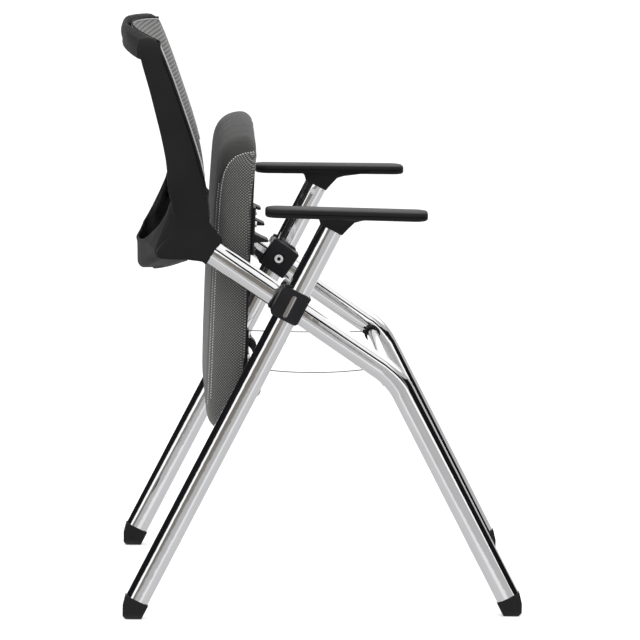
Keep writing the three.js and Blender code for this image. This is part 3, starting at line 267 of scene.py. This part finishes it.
# the clamp bolt's bright head, with its socket in shadow
bolt_low, bolt_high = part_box("clamp_bolt_left")
bright, tree, metal = blank_material("bright_steel")
metal.inputs["Metallic"].default_value = 1.0
place = add_node(tree, "SeparateXYZ", Vector=object_place(tree))
off_y = calc(tree, "SUBTRACT", place.outputs["Y"], (bolt_low.y + bolt_high.y) / 2)
off_z = calc(tree, "SUBTRACT", place.outputs["Z"], (bolt_low.z + bolt_high.z) / 2)
squares = calc(tree, "ADD", calc(tree, "MULTIPLY", off_y, off_y), calc(tree, "MULTIPLY", off_z, off_z))
smear = use_group(tree, smears, Size=120.0, Sharpness=1.5)
ring = add_node(tree, "MapRange", Value=calc(tree, "SQRT", squares), From_Min=0.0028, From_Max=0.0036,
                To_Min=0.03, To_Max=0.92)
tint = calc(tree, "MULTIPLY", ring.outputs[0], calc(tree, "MULTIPLY_ADD", smear.outputs["Smear"], 0.1, 0.9))
tree.links.new(grey(tree, tint), metal.inputs["Base Color"])
metal.inputs["Roughness"].default_value = 0.42
for node, solid in nodes.items():
    if any(word in node for word in ("bolt", "nut", "screw", "collar")):
        solid.data.materials.clear()
        solid.data.materials.append(bright if "bolt" in node else steel)

# Armrests: slim pads of black plastic with a moulded line round the edge. Each pad's neck plugs into
# the top of its rear leg, and a screw holds it there.
arm_plastic = moulded_black(
    "arm_plastic", (0.007, 0.007, 0.007), (0.013, 0.013, 0.0135), 0.46, 0.6, grain=0.35, size=9.0, shine=0.1)
# the pads' ends are blunter than an arc: over this length, they are pressed to this share of it
blunt_length, blunt_share = 0.0085, 0.35
for node in ("armrest_left", "armrest_right"):
    arm = welded_copy(node, smooth=45)
    ends = [pick(vert.co.y for vert in arm.data.vertices) for pick in (min, max)]
    for vert in arm.data.vertices:
        for end, way in zip(ends, (1, -1)):
            inset = (vert.co.y - end) * way
            if inset < blunt_length:
                share = blunt_share + (1 - blunt_share) * inset / blunt_length
                vert.co.y = end + way * inset * share
    stand_in(arm, node, arm_plastic)

# Back frame: one black moulding of two stiles, a top rail and a bow, with a socket a side. Each socket
# is pushed over a front leg and held by a screw.
back_plastic = moulded_black(
    "back_plastic", (0.0125, 0.0125, 0.0125), (0.0225, 0.0225, 0.0225), 0.45, 0.55, size=6.0, shine=0.006)


def clamped(value):
    return min(1.0, max(0.0, value))


back = welded_copy("back_frame", smooth=38)
# a web closes the slit above each socket
web_x, web_y, web_z = 0.2395, 0.2422, 0.6035
web_size = (0.012, 0.0045, 0.012)
for side in (-1, 1):
    bpy.ops.object.select_all(action="DESELECT")
    bpy.ops.mesh.primitive_cube_add(size=1, location=(side * web_x, web_y, web_z))
    web = bpy.context.object
    web.scale = web_size
    back.select_set(True)
    bpy.context.view_layer.objects.active = back
    bpy.ops.object.join()
# one skin over the whole moulding, laid on the solid's surface and blended where its faces meet
shaped(back, "REMESH", mode="VOXEL", voxel_size=0.0021)
shaped(back, "SHRINKWRAP", target=nodes["back_frame"], wrap_method="NEAREST_SURFACEPOINT")
shaped(back, "SMOOTH", factor=0.5, iterations=5)
# the bow's rim swells backwards below and is drawn in above; the top rail's rear corner is fuller
rim = [(0.500, 0.002), (0.536, 0.0024), (0.556, 0.003), (0.575, 0.0076), (0.594, 0.0039), (0.613, -0.0004),
       (0.633, -0.0036), (0.653, -0.0034), (0.672, 0.0)]
# its upper edge, which climbs outwards, dips where it nears the stiles
edge_x, edge_z, edge_slope, edge_depth = 0.145, 0.5855, 0.607, 0.03
dip_x, dip_width, dip_most = 0.19, 0.026, 0.0085
dip_way = Vector((0, 0.35, -0.93))
corner_push = 0.0045
for vert in back.data.vertices:
    edge = edge_z + edge_slope * (abs(vert.co.x) - edge_x)
    rise = (vert.co.z - edge) / edge_depth + 1
    if vert.co.y > 0.236 and 0.0 < rise < 1.4:
        dip = dip_most * min(1.0, rise) * math.exp(-((abs(vert.co.x) - dip_x) / dip_width) ** 2)
        vert.co += dip * dip_way
    share = clamped((vert.co.y - 0.22) / 0.03)
    for (low, push), (high, next_push) in zip(rim, rim[1:]):
        if low <= vert.co.z < high:
            vert.co.y += share * (push + (next_push - push) * (vert.co.z - low) / (high - low))
            break
    else:
        corner = clamped((vert.co.z - 0.885) / 0.015) * clamped((vert.co.y - 0.296) / 0.012)
        vert.co.y += corner_push * corner
bpy.ops.object.shade_smooth()
stand_in(back, "back_frame", back_plastic)

# Back mesh: a ribbed net stretched over the frame's front, with a welted edge down each side.
# It is woven flat and pulled into the hollow between the stiles as the frame is fitted.
net = welded_copy("back_mesh", smooth=60)
bpy.ops.object.mode_set(mode="EDIT")
bpy.ops.mesh.select_all(action="DESELECT")
skin = bmesh.from_edit_mesh(net.data)
skin.normal_update()
for face in skin.faces:
    face.select_set(face.normal.y > -0.15 or abs(face.normal.x) > 0.9)
bmesh.update_edit_mesh(net.data)
bpy.ops.mesh.delete(type="FACE")
bpy.ops.mesh.select_all(action="SELECT")
bpy.ops.mesh.tris_convert_to_quads(face_threshold=math.radians(60), shape_threshold=math.radians(60))
bpy.ops.object.mode_set(mode="OBJECT")
# the hem lies below the solid's, and its corners are cut to the frame's round ones; where the frame
# narrows, the sides run on into the stiles
net_top = max(vert.co.z for vert in net.data.vertices)
hem_width = 0.02
hem_drop = Vector((0, 0.0024, 0.006))
corner_x, cut_in, cut_down = 0.24, 0.006, Vector((0, 0.0012, 0.0045))
narrow_low, narrow_high, narrow_x, run_on = 0.635, 0.66, 0.2195, 0.012
for vert in net.data.vertices:
    if vert.co.z > net_top - hem_width:
        vert.co -= hem_drop
        if abs(vert.co.x) > corner_x:
            vert.co.x -= math.copysign(cut_in, vert.co.x)
            vert.co -= cut_down
    elif narrow_low < vert.co.z < narrow_high and abs(vert.co.x) > narrow_x:
        vert.co.x += math.copysign(run_on, vert.co.x)
welt_source = net.data.copy()
shaped(net, "SUBSURF", levels=2, render_levels=2, boundary_smooth="PRESERVE_CORNERS")
shaped(net, "SOLIDIFY", thickness=0.0009, offset=-1)
bpy.ops.object.shade_smooth_by_angle(angle=math.radians(60))

rib_pitch, thread_pitch = 0.00645, 0.0021
net_cloth, tree, weave = blank_material("ribbed_net")
place = object_place(tree)
up = add_node(tree, "VectorMath", {"operation": "DOT_PRODUCT"})
tree.links.new(place, up.inputs[0])
up.inputs[1].default_value = (0.0, 0.34, 0.94)
across = add_node(tree, "SeparateXYZ", Vector=place).outputs["X"]
rib = calc(tree, "SINE", calc(tree, "MULTIPLY", up.outputs["Value"], 2 * math.pi / rib_pitch))
rib = calc(tree, "MULTIPLY_ADD", rib, 0.5, 0.5)
thread = calc(tree, "SINE", calc(tree, "MULTIPLY", across, 2 * math.pi / thread_pitch))
thread = calc(tree, "MULTIPLY_ADD", thread, 0.5, 0.5)
rough_rib = add_node(tree, "MapRange", {"interpolation_type": "SMOOTHSTEP"}, Value=rib,
                     From_Min=0.3, From_Max=0.7)
mix = calc(tree, "MULTIPLY", rough_rib.outputs[0], calc(tree, "MULTIPLY_ADD", thread, 0.25, 0.75))
tone = two_tone(tree, mix, (0.06, 0.06, 0.058), (0.2, 0.2, 0.195))
height = add_node(tree, "SeparateXYZ", Vector=place).outputs["Z"]
# the seat and the bow shade the net's lower part
shade = add_node(tree, "MapRange", {"interpolation_type": "SMOOTHSTEP"}, Value=height,
                 From_Min=0.68, From_Max=0.77, To_Min=0.3, To_Max=1.0)
dim = add_node(tree, "Mix", {"data_type": "RGBA", "blend_type": "MULTIPLY"})
dim.inputs["Factor"].default_value = 1.0
tree.links.new(tone, dim.inputs[6])
tree.links.new(shade.outputs[0], dim.inputs[7])
tree.links.new(dim.outputs[2], weave.inputs["Base Color"])
weave.inputs["Roughness"].default_value = 0.8
weave.inputs["Sheen Weight"].default_value = 0.15
relief_on(tree, weave, mix, 0.5, 0.0008)
net.data.materials.clear()
net.data.materials.append(net_cloth)
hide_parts("back_mesh")
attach(net, "frame")


def edge_cord(name, wider, higher, deeper, radius):
    # a cord along the net's sides and top: those edges of its unthickened mesh, made a curve with a radius
    side_start, top_depth = 0.69, 0.03
    half_width = 0.248
    cord = bpy.data.objects.new(name, welt_source.copy())
    bpy.context.scene.collection.objects.link(cord)
    make_active(cord)
    bpy.ops.object.mode_set(mode="EDIT")
    bpy.ops.mesh.select_mode(type="EDGE")
    bpy.ops.mesh.select_all(action="DESELECT")
    skin = bmesh.from_edit_mesh(cord.data)
    for edge in skin.edges:
        ends = [vert.co for vert in edge.verts]
        steep = abs(ends[0].z - ends[1].z) > abs(ends[0].x - ends[1].x)
        low = min(end.z for end in ends)
        edge.select_set(not (edge.is_boundary and low > (side_start if steep else net_top - top_depth)))
    bmesh.update_edit_mesh(cord.data)
    bpy.ops.mesh.delete(type="EDGE")
    bpy.ops.object.mode_set(mode="OBJECT")
    for vert in cord.data.vertices:
        vert.co.x *= 1 + wider / half_width
        if vert.co.z > net_top - hem_width:
            vert.co.z += higher
        else:
            vert.co.y += deeper
    bpy.ops.object.convert(target="CURVE")
    cord.data.bevel_depth = radius
    cord.data.bevel_resolution = 2
    cord.data.use_fill_caps = True
    bpy.ops.object.convert(target="MESH")
    bpy.ops.object.shade_smooth_by_angle(angle=math.radians(60))
    cord.data.materials.clear()
    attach(cord, "frame")
    return cord


welt_lay = 0.0025
welt = edge_cord("mesh_welt", wider=0.0004, higher=0.0, deeper=-0.0004, radius=0.0013)
welt_yarn, tree, yarn = blank_material("welt_yarn")
height = add_node(tree, "SeparateXYZ", Vector=object_place(tree))
twist = calc(tree, "SINE", calc(tree, "MULTIPLY", height.outputs["Z"], 2 * math.pi / welt_lay))
tint = add_node(tree, "MapRange", Value=twist, From_Min=-1.0, To_Min=0.34, To_Max=0.5)
tree.links.new(grey(tree, tint.outputs[0]), yarn.inputs["Base Color"])
yarn.inputs["Roughness"].default_value = 0.75
relief_on(tree, yarn, twist, 0.3, 0.0004)
welt.data.materials.append(welt_yarn)
# a soft black beading is pressed into the frame's groove outside the welt
beading = edge_cord("mesh_beading", wider=0.0018, higher=0.0028, deeper=0.0022, radius=0.0016)
beading.data.materials.append(back_plastic)

# Seat cushion: foam on a board, in a knitted cover of three panels: a plain one over the nose and the
# sitting face, and a dotted one down each side, sewn with two rows of pale stitches.
seat_lean = math.radians(2)
rise_way = Vector((0, math.cos(seat_lean), math.sin(seat_lean)))
along_way = Vector((0, -math.sin(seat_lean), math.cos(seat_lean)))
axle = Vector((0, axle_y, axle_z))
most_swell = 0.003


def seat_point(x, along, rise):
    return axle + Vector((x, 0, 0)) + along_way * along + rise_way * rise


cushion = welded_copy("seat_cushion", smooth=60)
shaped(cushion, "REMESH", mode="VOXEL", voxel_size=0.0055)
flat_shape = [vert.co.copy() for vert in cushion.data.vertices]
swell = cushion.modifiers.new("swell", "CLOTH")
swell.settings.use_pressure = True
swell.settings.uniform_pressure_force = 4
swell.settings.effector_weights.gravity = 0
for step in range(1, 21):
    bpy.context.scene.frame_set(step)
bpy.ops.object.modifier_apply(modifier=swell.name)
bpy.context.scene.frame_set(1)
for vert, before in zip(cushion.data.vertices, flat_shape):
    moved = vert.co - before
    along = (before - axle).dot(along_way)
    most = most_swell * min(1.0, max(0.3, 0.4 + along / 0.2))
    if moved.length > most:
        vert.co = before + moved * (most / moved.length)
shaped(cushion, "SMOOTH", factor=0.5, iterations=6)
# the nose is packed fuller than the rest, most of all under the knee
nose_along, nose_length, nose_full, tip_full = 0.343, 0.032, 0.0044, 0.0038
for vert in cushion.data.vertices:
    along, rise = (vert.co - axle).dot(along_way), (vert.co - axle).dot(rise_way)
    under = clamped((0.045 - rise) / 0.03)
    tip = clamped((along - 0.355) / 0.03)
    vert.co -= rise_way * under * nose_full * math.exp(-((along - nose_along) / nose_length) ** 2)
    vert.co += along_way * under * tip * tip_full
shaped(cushion, "SUBSURF", levels=1, render_levels=1)
bpy.ops.object.shade_smooth()

knit, knit_in, knit_out = surface_group(
    "knit", [("Pitch", 0.0033), ("Slant", 1.0)], [("Dots", "Float"), ("Lines", "Float")])
place = add_node(knit, "SeparateXYZ", Vector=object_place(knit))
turns = calc(knit, "DIVIDE", 2 * math.pi, knit_in.outputs["Pitch"])
wide = calc(knit, "ADD", place.outputs["Y"], place.outputs["X"])
tall = calc(knit, "MULTIPLY", place.outputs["Z"], knit_in.outputs["Slant"])
row = calc(knit, "SINE", calc(knit, "MULTIPLY", turns, tall))
column = calc(knit, "SINE", calc(knit, "MULTIPLY", turns, wide))
slanted = calc(knit, "SINE", calc(knit, "MULTIPLY", turns, calc(knit, "ADD", tall, wide)))
dot = calc(knit, "MULTIPLY", row, column)
knit.links.new(calc(knit, "MULTIPLY_ADD", dot, 0.5, 0.5), knit_out.inputs["Dots"])
knit.links.new(calc(knit, "MULTIPLY_ADD", slanted, 0.5, 0.5), knit_out.inputs["Lines"])

cover, tree, cloth = blank_material("seat_knit")
place = object_place(tree)
rise_dot = add_node(tree, "VectorMath", {"operation": "DOT_PRODUCT"})
tree.links.new(place, rise_dot.inputs[0])
rise_dot.inputs[1].default_value = rise_way
rise = calc(tree, "SUBTRACT", rise_dot.outputs["Value"], axle.dot(rise_way))
along_dot = add_node(tree, "VectorMath", {"operation": "DOT_PRODUCT"})
tree.links.new(place, along_dot.inputs[0])
along_dot.inputs[1].default_value = along_way
along = calc(tree, "SUBTRACT", along_dot.outputs["Value"], axle.dot(along_way))

# the side panel's edge runs along the sitting face and curves down before the nose
edge_low, edge_high = 0.26, 0.38
panel_edge = [(0.26, 70), (0.287, 69), (0.31, 66), (0.33, 61), (0.345, 54), (0.355, 44), (0.361, 35),
              (0.365, 11), (0.38, 0)]
seam = add_node(tree, "FloatCurve")
line = seam.mapping.curves[0]
line.points[0].location = (0, panel_edge[0][1] / 100)
line.points[1].location = (1, panel_edge[-1][1] / 100)
for step, value in panel_edge[1:-1]:
    line.points.new((step - edge_low) / (edge_high - edge_low), value / 100)
seam.mapping.update()
share = add_node(tree, "MapRange", Value=along, From_Min=edge_low, From_Max=edge_high)
tree.links.new(share.outputs[0], seam.inputs["Value"])
panel_top = calc(tree, "MULTIPLY", seam.outputs[0], 0.1)
below = calc(tree, "SUBTRACT", panel_top, rise)
panel = add_node(tree, "MapRange", Value=below, From_Min=-0.0004, From_Max=0.0004)
groove = add_node(tree, "MapRange", {"interpolation_type": "SMOOTHSTEP"},
                  Value=calc(tree, "ABSOLUTE", below), From_Min=0.0, From_Max=0.0016, To_Min=1.0, To_Max=0.0)
pattern = use_group(tree, knit, Pitch=0.0044, Slant=1.0)
dots = add_node(tree, "MapRange", {"interpolation_type": "SMOOTHSTEP"}, Value=pattern.outputs["Dots"],
                From_Min=0.5, From_Max=0.8)
lines = use_group(tree, knit, Pitch=0.0042, Slant=0.7)
panel_tone = between(tree, dots.outputs[0], 0.05, 0.235)
# painted light and shade: the plain cloth's colour is made paler on the sitting face and darker over the
# nose, as light falls on them
face_light_nose_shade = add_node(tree, "MapRange", Value=along, From_Min=0.27, From_Max=0.34, To_Min=1.2, To_Max=0.42)
plain_tone_and_shade = calc(tree, "MULTIPLY", between(tree, lines.outputs["Lines"], 0.045, 0.12), face_light_nose_shade.outputs[0])
tone = add_node(tree, "Mix", {"data_type": "FLOAT"})
tree.links.new(panel.outputs[0], tone.inputs[0])
tree.links.new(plain_tone_and_shade, tone.inputs[2])
tree.links.new(panel_tone, tone.inputs[3])
shaded = calc(tree, "MULTIPLY", tone.outputs[0], calc(tree, "MULTIPLY_ADD", groove.outputs[0], -0.6, 1.0))
tone = add_node(tree, "CombineColor", Red=shaded, Green=shaded, Blue=calc(tree, "MULTIPLY", shaded, 0.97))
tree.links.new(tone.outputs[0], cloth.inputs["Base Color"])
cloth.inputs["Roughness"].default_value = 0.85
cloth.inputs["Specular IOR Level"].default_value = 0.25
cloth.inputs["Sheen Weight"].default_value = 0.15
cloth.inputs["Sheen Roughness"].default_value = 0.5
relief = calc(tree, "MULTIPLY_ADD", groove.outputs[0], -1.5, dots.outputs[0])
relief_on(tree, cloth, relief, 0.4, 0.0008)
stand_in(cushion, "seat_cushion", cover, "seat")

# stitches: short pale threads, sunk a little into the cover; each row is a line of (along, rise) in mm
stitch_pitch, stitch_radius = 0.0042, 0.0008
stitch_rows = [
    [(365, 11), (362, 28), (357, 42), (345, 53), (330, 59), (310, 62), (287, 63.5), (150, 64.5), (-28, 63)],
    [(312, 66.5), (287, 68), (150, 68.5), (-40, 67)],
]
bm = bmesh.new()
bm.from_mesh(cushion.data)
cover_tree = BVHTree.FromBMesh(bm)
bm.free()
places = []
for row in stitch_rows:
    left_over = 0.0
    for (far, up), (next_far, next_up) in zip(row, row[1:]):
        length = math.hypot(next_far - far, next_up - up) / 1000
        slant = math.atan2(next_up - up, next_far - far)
        step = left_over
        while step < length:
            share = step / length
            places.append(((far + (next_far - far) * share) / 1000,
                           (up + (next_up - up) * share) / 1000, slant))
            step += stitch_pitch
        left_over = step - length
bpy.ops.object.select_all(action="DESELECT")
bpy.ops.mesh.primitive_uv_sphere_add(segments=8, ring_count=5, radius=stitch_radius)
stitch = bpy.context.object
stitch_shape = stitch.data
stitches = bmesh.new()
for side in (-1, 1):
    for far, up, slant in places:
        start = seat_point(side * 0.3, far, up)
        hit, normal, _, _ = cover_tree.ray_cast(start, Vector((-side, 0, 0)))
        if hit is None:
            continue
        way = along_way * math.cos(slant) + rise_way * math.sin(slant)
        way = (way - normal * way.dot(normal)).normalized()
        third = way.cross(normal)
        turn = Matrix((way * 1.7, third, normal * 0.8)).transposed().to_4x4()
        part = stitch_shape.copy()
        part.transform(Matrix.Translation(hit) @ turn)
        stitches.from_mesh(part)
        bpy.data.meshes.remove(part)
bpy.data.objects.remove(stitch)
thread_mesh = bpy.data.meshes.new("seat_stitches")
bmesh.ops.recalc_face_normals(stitches, faces=stitches.faces)
stitches.to_mesh(thread_mesh)
stitches.free()
thread_piece = bpy.data.objects.new("seat_stitches", thread_mesh)
bpy.context.scene.collection.objects.link(thread_piece)
make_active(thread_piece)
bpy.ops.object.shade_smooth()
stitch_thread, tree, yarn = blank_material("stitch_thread")
smear = use_group(tree, smears, Size=400.0, Sharpness=1.5)
tint = between(tree, smear.outputs["Smear"], 0.55, 0.75)
tree.links.new(grey(tree, tint), yarn.inputs["Base Color"])
yarn.inputs["Roughness"].default_value = 0.7
thread_piece.data.materials.append(stitch_thread)
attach(thread_piece, "seat")

# Seat board, hooks and bearings: mouldings of the same black nylon. The hooks and bearings are screwed
# up into the board, and all of them turn with the seat.
for node in ("seat_board", "seat_hook_left", "seat_hook_centre", "seat_hook_right",
             "seat_bearing_left", "seat_bearing_right"):
    part = welded_copy(node, smooth=38)
    stand_in(part, node, clamp_plastic, "seat")

# Book wires: two slack steel wires, one a side, that run from the rear cross tube to the front one. Each
# end is held in the eye of a small plastic clip.
wire_steel, tree, metal = blank_material("wire_steel")
metal.inputs["Metallic"].default_value = 1.0
smear = use_group(tree, smears, Size=90.0, Sharpness=2.0)
tint = between(tree, smear.outputs["Smear"], 0.16, 0.3)
tree.links.new(grey(tree, tint), metal.inputs["Base Color"])
metal.inputs["Roughness"].default_value = 0.35
for node, solid in nodes.items():
    if "wire" in node:
        solid.data.materials.clear()
        solid.data.materials.append(clamp_plastic if "clip" in node else wire_steel)

# Studio: a white sweep and plain soft lamps, inside a sphere of cards that only the chrome reflects.
# All of it is the stage, and none of it is a piece of the chair.
scene = bpy.context.scene
scene.view_settings.view_transform = "Standard"
bpy.ops.object.select_all(action="DESELECT")
bpy.ops.mesh.primitive_plane_add(size=60, location=(0, 0, -0.0005))
floor = bpy.context.object
floor.name = "floor"
floor_paint, tree, paint = blank_material("floor_paint")
paint.inputs["Base Color"].default_value = (0.8, 0.8, 0.8, 1)
paint.inputs["Roughness"].default_value = 1.0
paint.inputs["Specular IOR Level"].default_value = 0.0
paint.inputs["Emission Color"].default_value = (1, 1, 1, 1)
rays = add_node(tree, "LightPath")
seen = calc(tree, "MAXIMUM", rays.outputs["Is Camera Ray"], rays.outputs["Is Transmission Ray"])
glow = calc(tree, "MULTIPLY", seen, 0.45)
tree.links.new(glow, paint.inputs["Emission Strength"])
floor.data.materials.append(floor_paint)

world = bpy.data.worlds.new("studio")
scene.world = world
world.use_nodes = True
tree = world.node_tree
sky = tree.nodes["Background"]
sky.inputs["Color"].default_value = (1, 1, 1, 1)
rays = add_node(tree, "LightPath")
bright = calc(tree, "MAXIMUM", rays.outputs["Is Camera Ray"],
              calc(tree, "MAXIMUM", rays.outputs["Is Glossy Ray"], rays.outputs["Is Transmission Ray"]))
tree.links.new(calc(tree, "MULTIPLY_ADD", bright, 0.2, 0.8), sky.inputs["Strength"])


def only_mirrored(card):
    card.visible_camera = False
    card.visible_diffuse = False
    card.visible_shadow = False
    card.visible_transmission = False


def lamp(name, place, aim, size, power):
    light = bpy.data.lights.new(name, "AREA")
    light.shape = "SQUARE"
    light.size = size
    light.energy = power
    holder = bpy.data.objects.new(name, light)
    scene.collection.objects.link(holder)
    holder.location = place
    holder.rotation_euler = (Vector(aim) - Vector(place)).to_track_quat("-Z", "Y").to_euler()
    holder.visible_glossy = False
    return holder


lamp("key", place=(-2.6, -1.6, 3.2), aim=(0, 0, 0.5), size=2.2, power=45)
lamp("top", place=(0.4, 0.6, 3.6), aim=(0, 0, 0.3), size=2.6, power=45)
lamp("rear", place=(-0.4, 3.0, 1.6), aim=(0, 0, 0.6), size=2.0, power=20)
# the net is open work: what it lets through lights the inside of the bow
through_net = lamp("through_net", place=(0, 0.218, 0.603), aim=(0, 0.3, 0.603), size=0.36, power=0.3)
through_net.data.shape = "RECTANGLE"
through_net.data.size_y = 0.025
through_net.visible_camera = False
bow_only = bpy.data.collections.new("bow_only")
bow_only.objects.link(back)
through_net.light_linking.receiver_collection = bow_only


# what the chrome mirrors: a white top, black cards all round at head height, a beige card low on the
# camera's side and grey paper below; only glossy rays see it
bpy.ops.object.select_all(action="DESELECT")
bpy.ops.mesh.primitive_uv_sphere_add(segments=48, ring_count=24, radius=14, location=(0, 0, 0.4))
surround = bpy.context.object
surround.name = "surround"
cards, tree, paint = blank_material("surround_cards")
place = add_node(tree, "SeparateXYZ", Vector=object_place(tree))
height = add_node(tree, "MapRange", Value=place.outputs["Z"], From_Min=-14.0, From_Max=14.0)
bands = add_node(tree, "ValToRGB")
bands.color_ramp.elements.remove(bands.color_ramp.elements[0])
# degrees above the horizon, and the card's colour there
stops = [(-60, (0.5, 0.5, 0.5)), (-22, (0.55, 0.55, 0.56)), (-19.5, (0.75, 0.75, 0.75)),
         (-16, (0.75, 0.75, 0.75)), (-14.8, (0.44, 0.44, 0.45)), (-11, (0.42, 0.42, 0.42)),
         (-10, (0.2, 0.185, 0.165)), (-4.5, (0.17, 0.155, 0.14)), (-3.5, (1, 1, 1)), (2, (1, 1, 1)),
         (3.5, (0.006, 0.006, 0.007)), (28, (0.009, 0.0093, 0.011)), (33, (1, 1, 1))]
for number, (rise, colour) in enumerate(stops):
    spot = (math.sin(math.radians(rise)) + 1) / 2
    stop = bands.color_ramp.elements[0] if number == 0 else bands.color_ramp.elements.new(spot)
    stop.position = spot
    stop.color = (*colour, 1)
tree.links.new(height.outputs[0], bands.inputs["Fac"])
behind = add_node(tree, "MapRange", {"interpolation_type": "SMOOTHSTEP"}, Value=place.outputs["X"],
                  From_Min=11.2, From_Max=12.4)
over_camera = add_node(tree, "MapRange", {"interpolation_type": "SMOOTHSTEP"}, Value=place.outputs["Z"],
                       From_Min=14 * math.sin(math.radians(10)), From_Max=14 * math.sin(math.radians(14)))
off_centre = add_node(tree, "MapRange", {"interpolation_type": "SMOOTHSTEP"},
                      Value=calc(tree, "ABSOLUTE", place.outputs["Y"]),
                      From_Min=6.4, From_Max=7.4, To_Min=1.0, To_Max=0.0)
white = calc(tree, "MAXIMUM", behind.outputs[0],
             calc(tree, "MULTIPLY", over_camera.outputs[0], off_centre.outputs[0]))
low_front = calc(tree, "MULTIPLY", calc(tree, "LESS_THAN", place.outputs["Y"], -0.85),
                 calc(tree, "LESS_THAN", place.outputs["Z"], -0.8))
front = add_node(tree, "MapRange", Value=place.outputs["Y"], From_Min=-8.0, From_Max=-6.5,
                 To_Min=1.0, To_Max=0.0)
pale = calc(tree, "MULTIPLY", calc(tree, "MAXIMUM", low_front, front.outputs[0]), 0.44)
# the black cards are crumpled cloth
cloud = add_node(tree, "TexNoise", Vector=object_place(tree), Scale=0.9, Detail=5.0, Roughness=0.65)
fold = add_node(tree, "MapRange", Value=cloud.outputs["Fac"], From_Min=0.5, From_Max=0.72, To_Min=0.0,
                To_Max=0.045)
pale = calc(tree, "MAXIMUM", pale, fold.outputs[0])
lit = add_node(tree, "Mix", {"data_type": "RGBA", "blend_type": "LIGHTEN"})
lit.inputs["Factor"].default_value = 1.0
tree.links.new(bands.outputs["Color"], lit.inputs[6])
tree.links.new(pale, lit.inputs[7])
glowing = add_node(tree, "Mix", {"data_type": "RGBA"})
tree.links.new(white, glowing.inputs["Factor"])
tree.links.new(lit.outputs[2], glowing.inputs[6])
glowing.inputs[7].default_value = (0.9, 0.9, 0.9, 1)
tree.links.new(glowing.outputs[2], paint.inputs["Emission Color"])
paint.inputs["Emission Strength"].default_value = 1.75
paint.inputs["Base Color"].default_value = (0, 0, 0, 1)
paint.inputs["Specular IOR Level"].default_value = 0.0
surround.data.materials.append(cards)
only_mirrored(surround)
floor.visible_glossy = False

# a black card stands beside the front legs, and darkens only the nearer one's front edge
bpy.ops.object.select_all(action="DESELECT")
bpy.ops.mesh.primitive_plane_add(size=1, location=(-0.785, -0.95, 0.4), rotation=(math.radians(90), 0, 0))
card = bpy.context.object
card.name = "front_card"
card.scale = (1.33, 0.76, 1)
card_black, tree, paint = blank_material("card_black")
paint.inputs["Base Color"].default_value = (0, 0, 0, 1)
paint.inputs["Specular IOR Level"].default_value = 0.0
paint.inputs["Emission Color"].default_value = (0.012, 0.012, 0.014, 1)
paint.inputs["Emission Strength"].default_value = 1.0
card.data.materials.append(card_black)
only_mirrored(card)
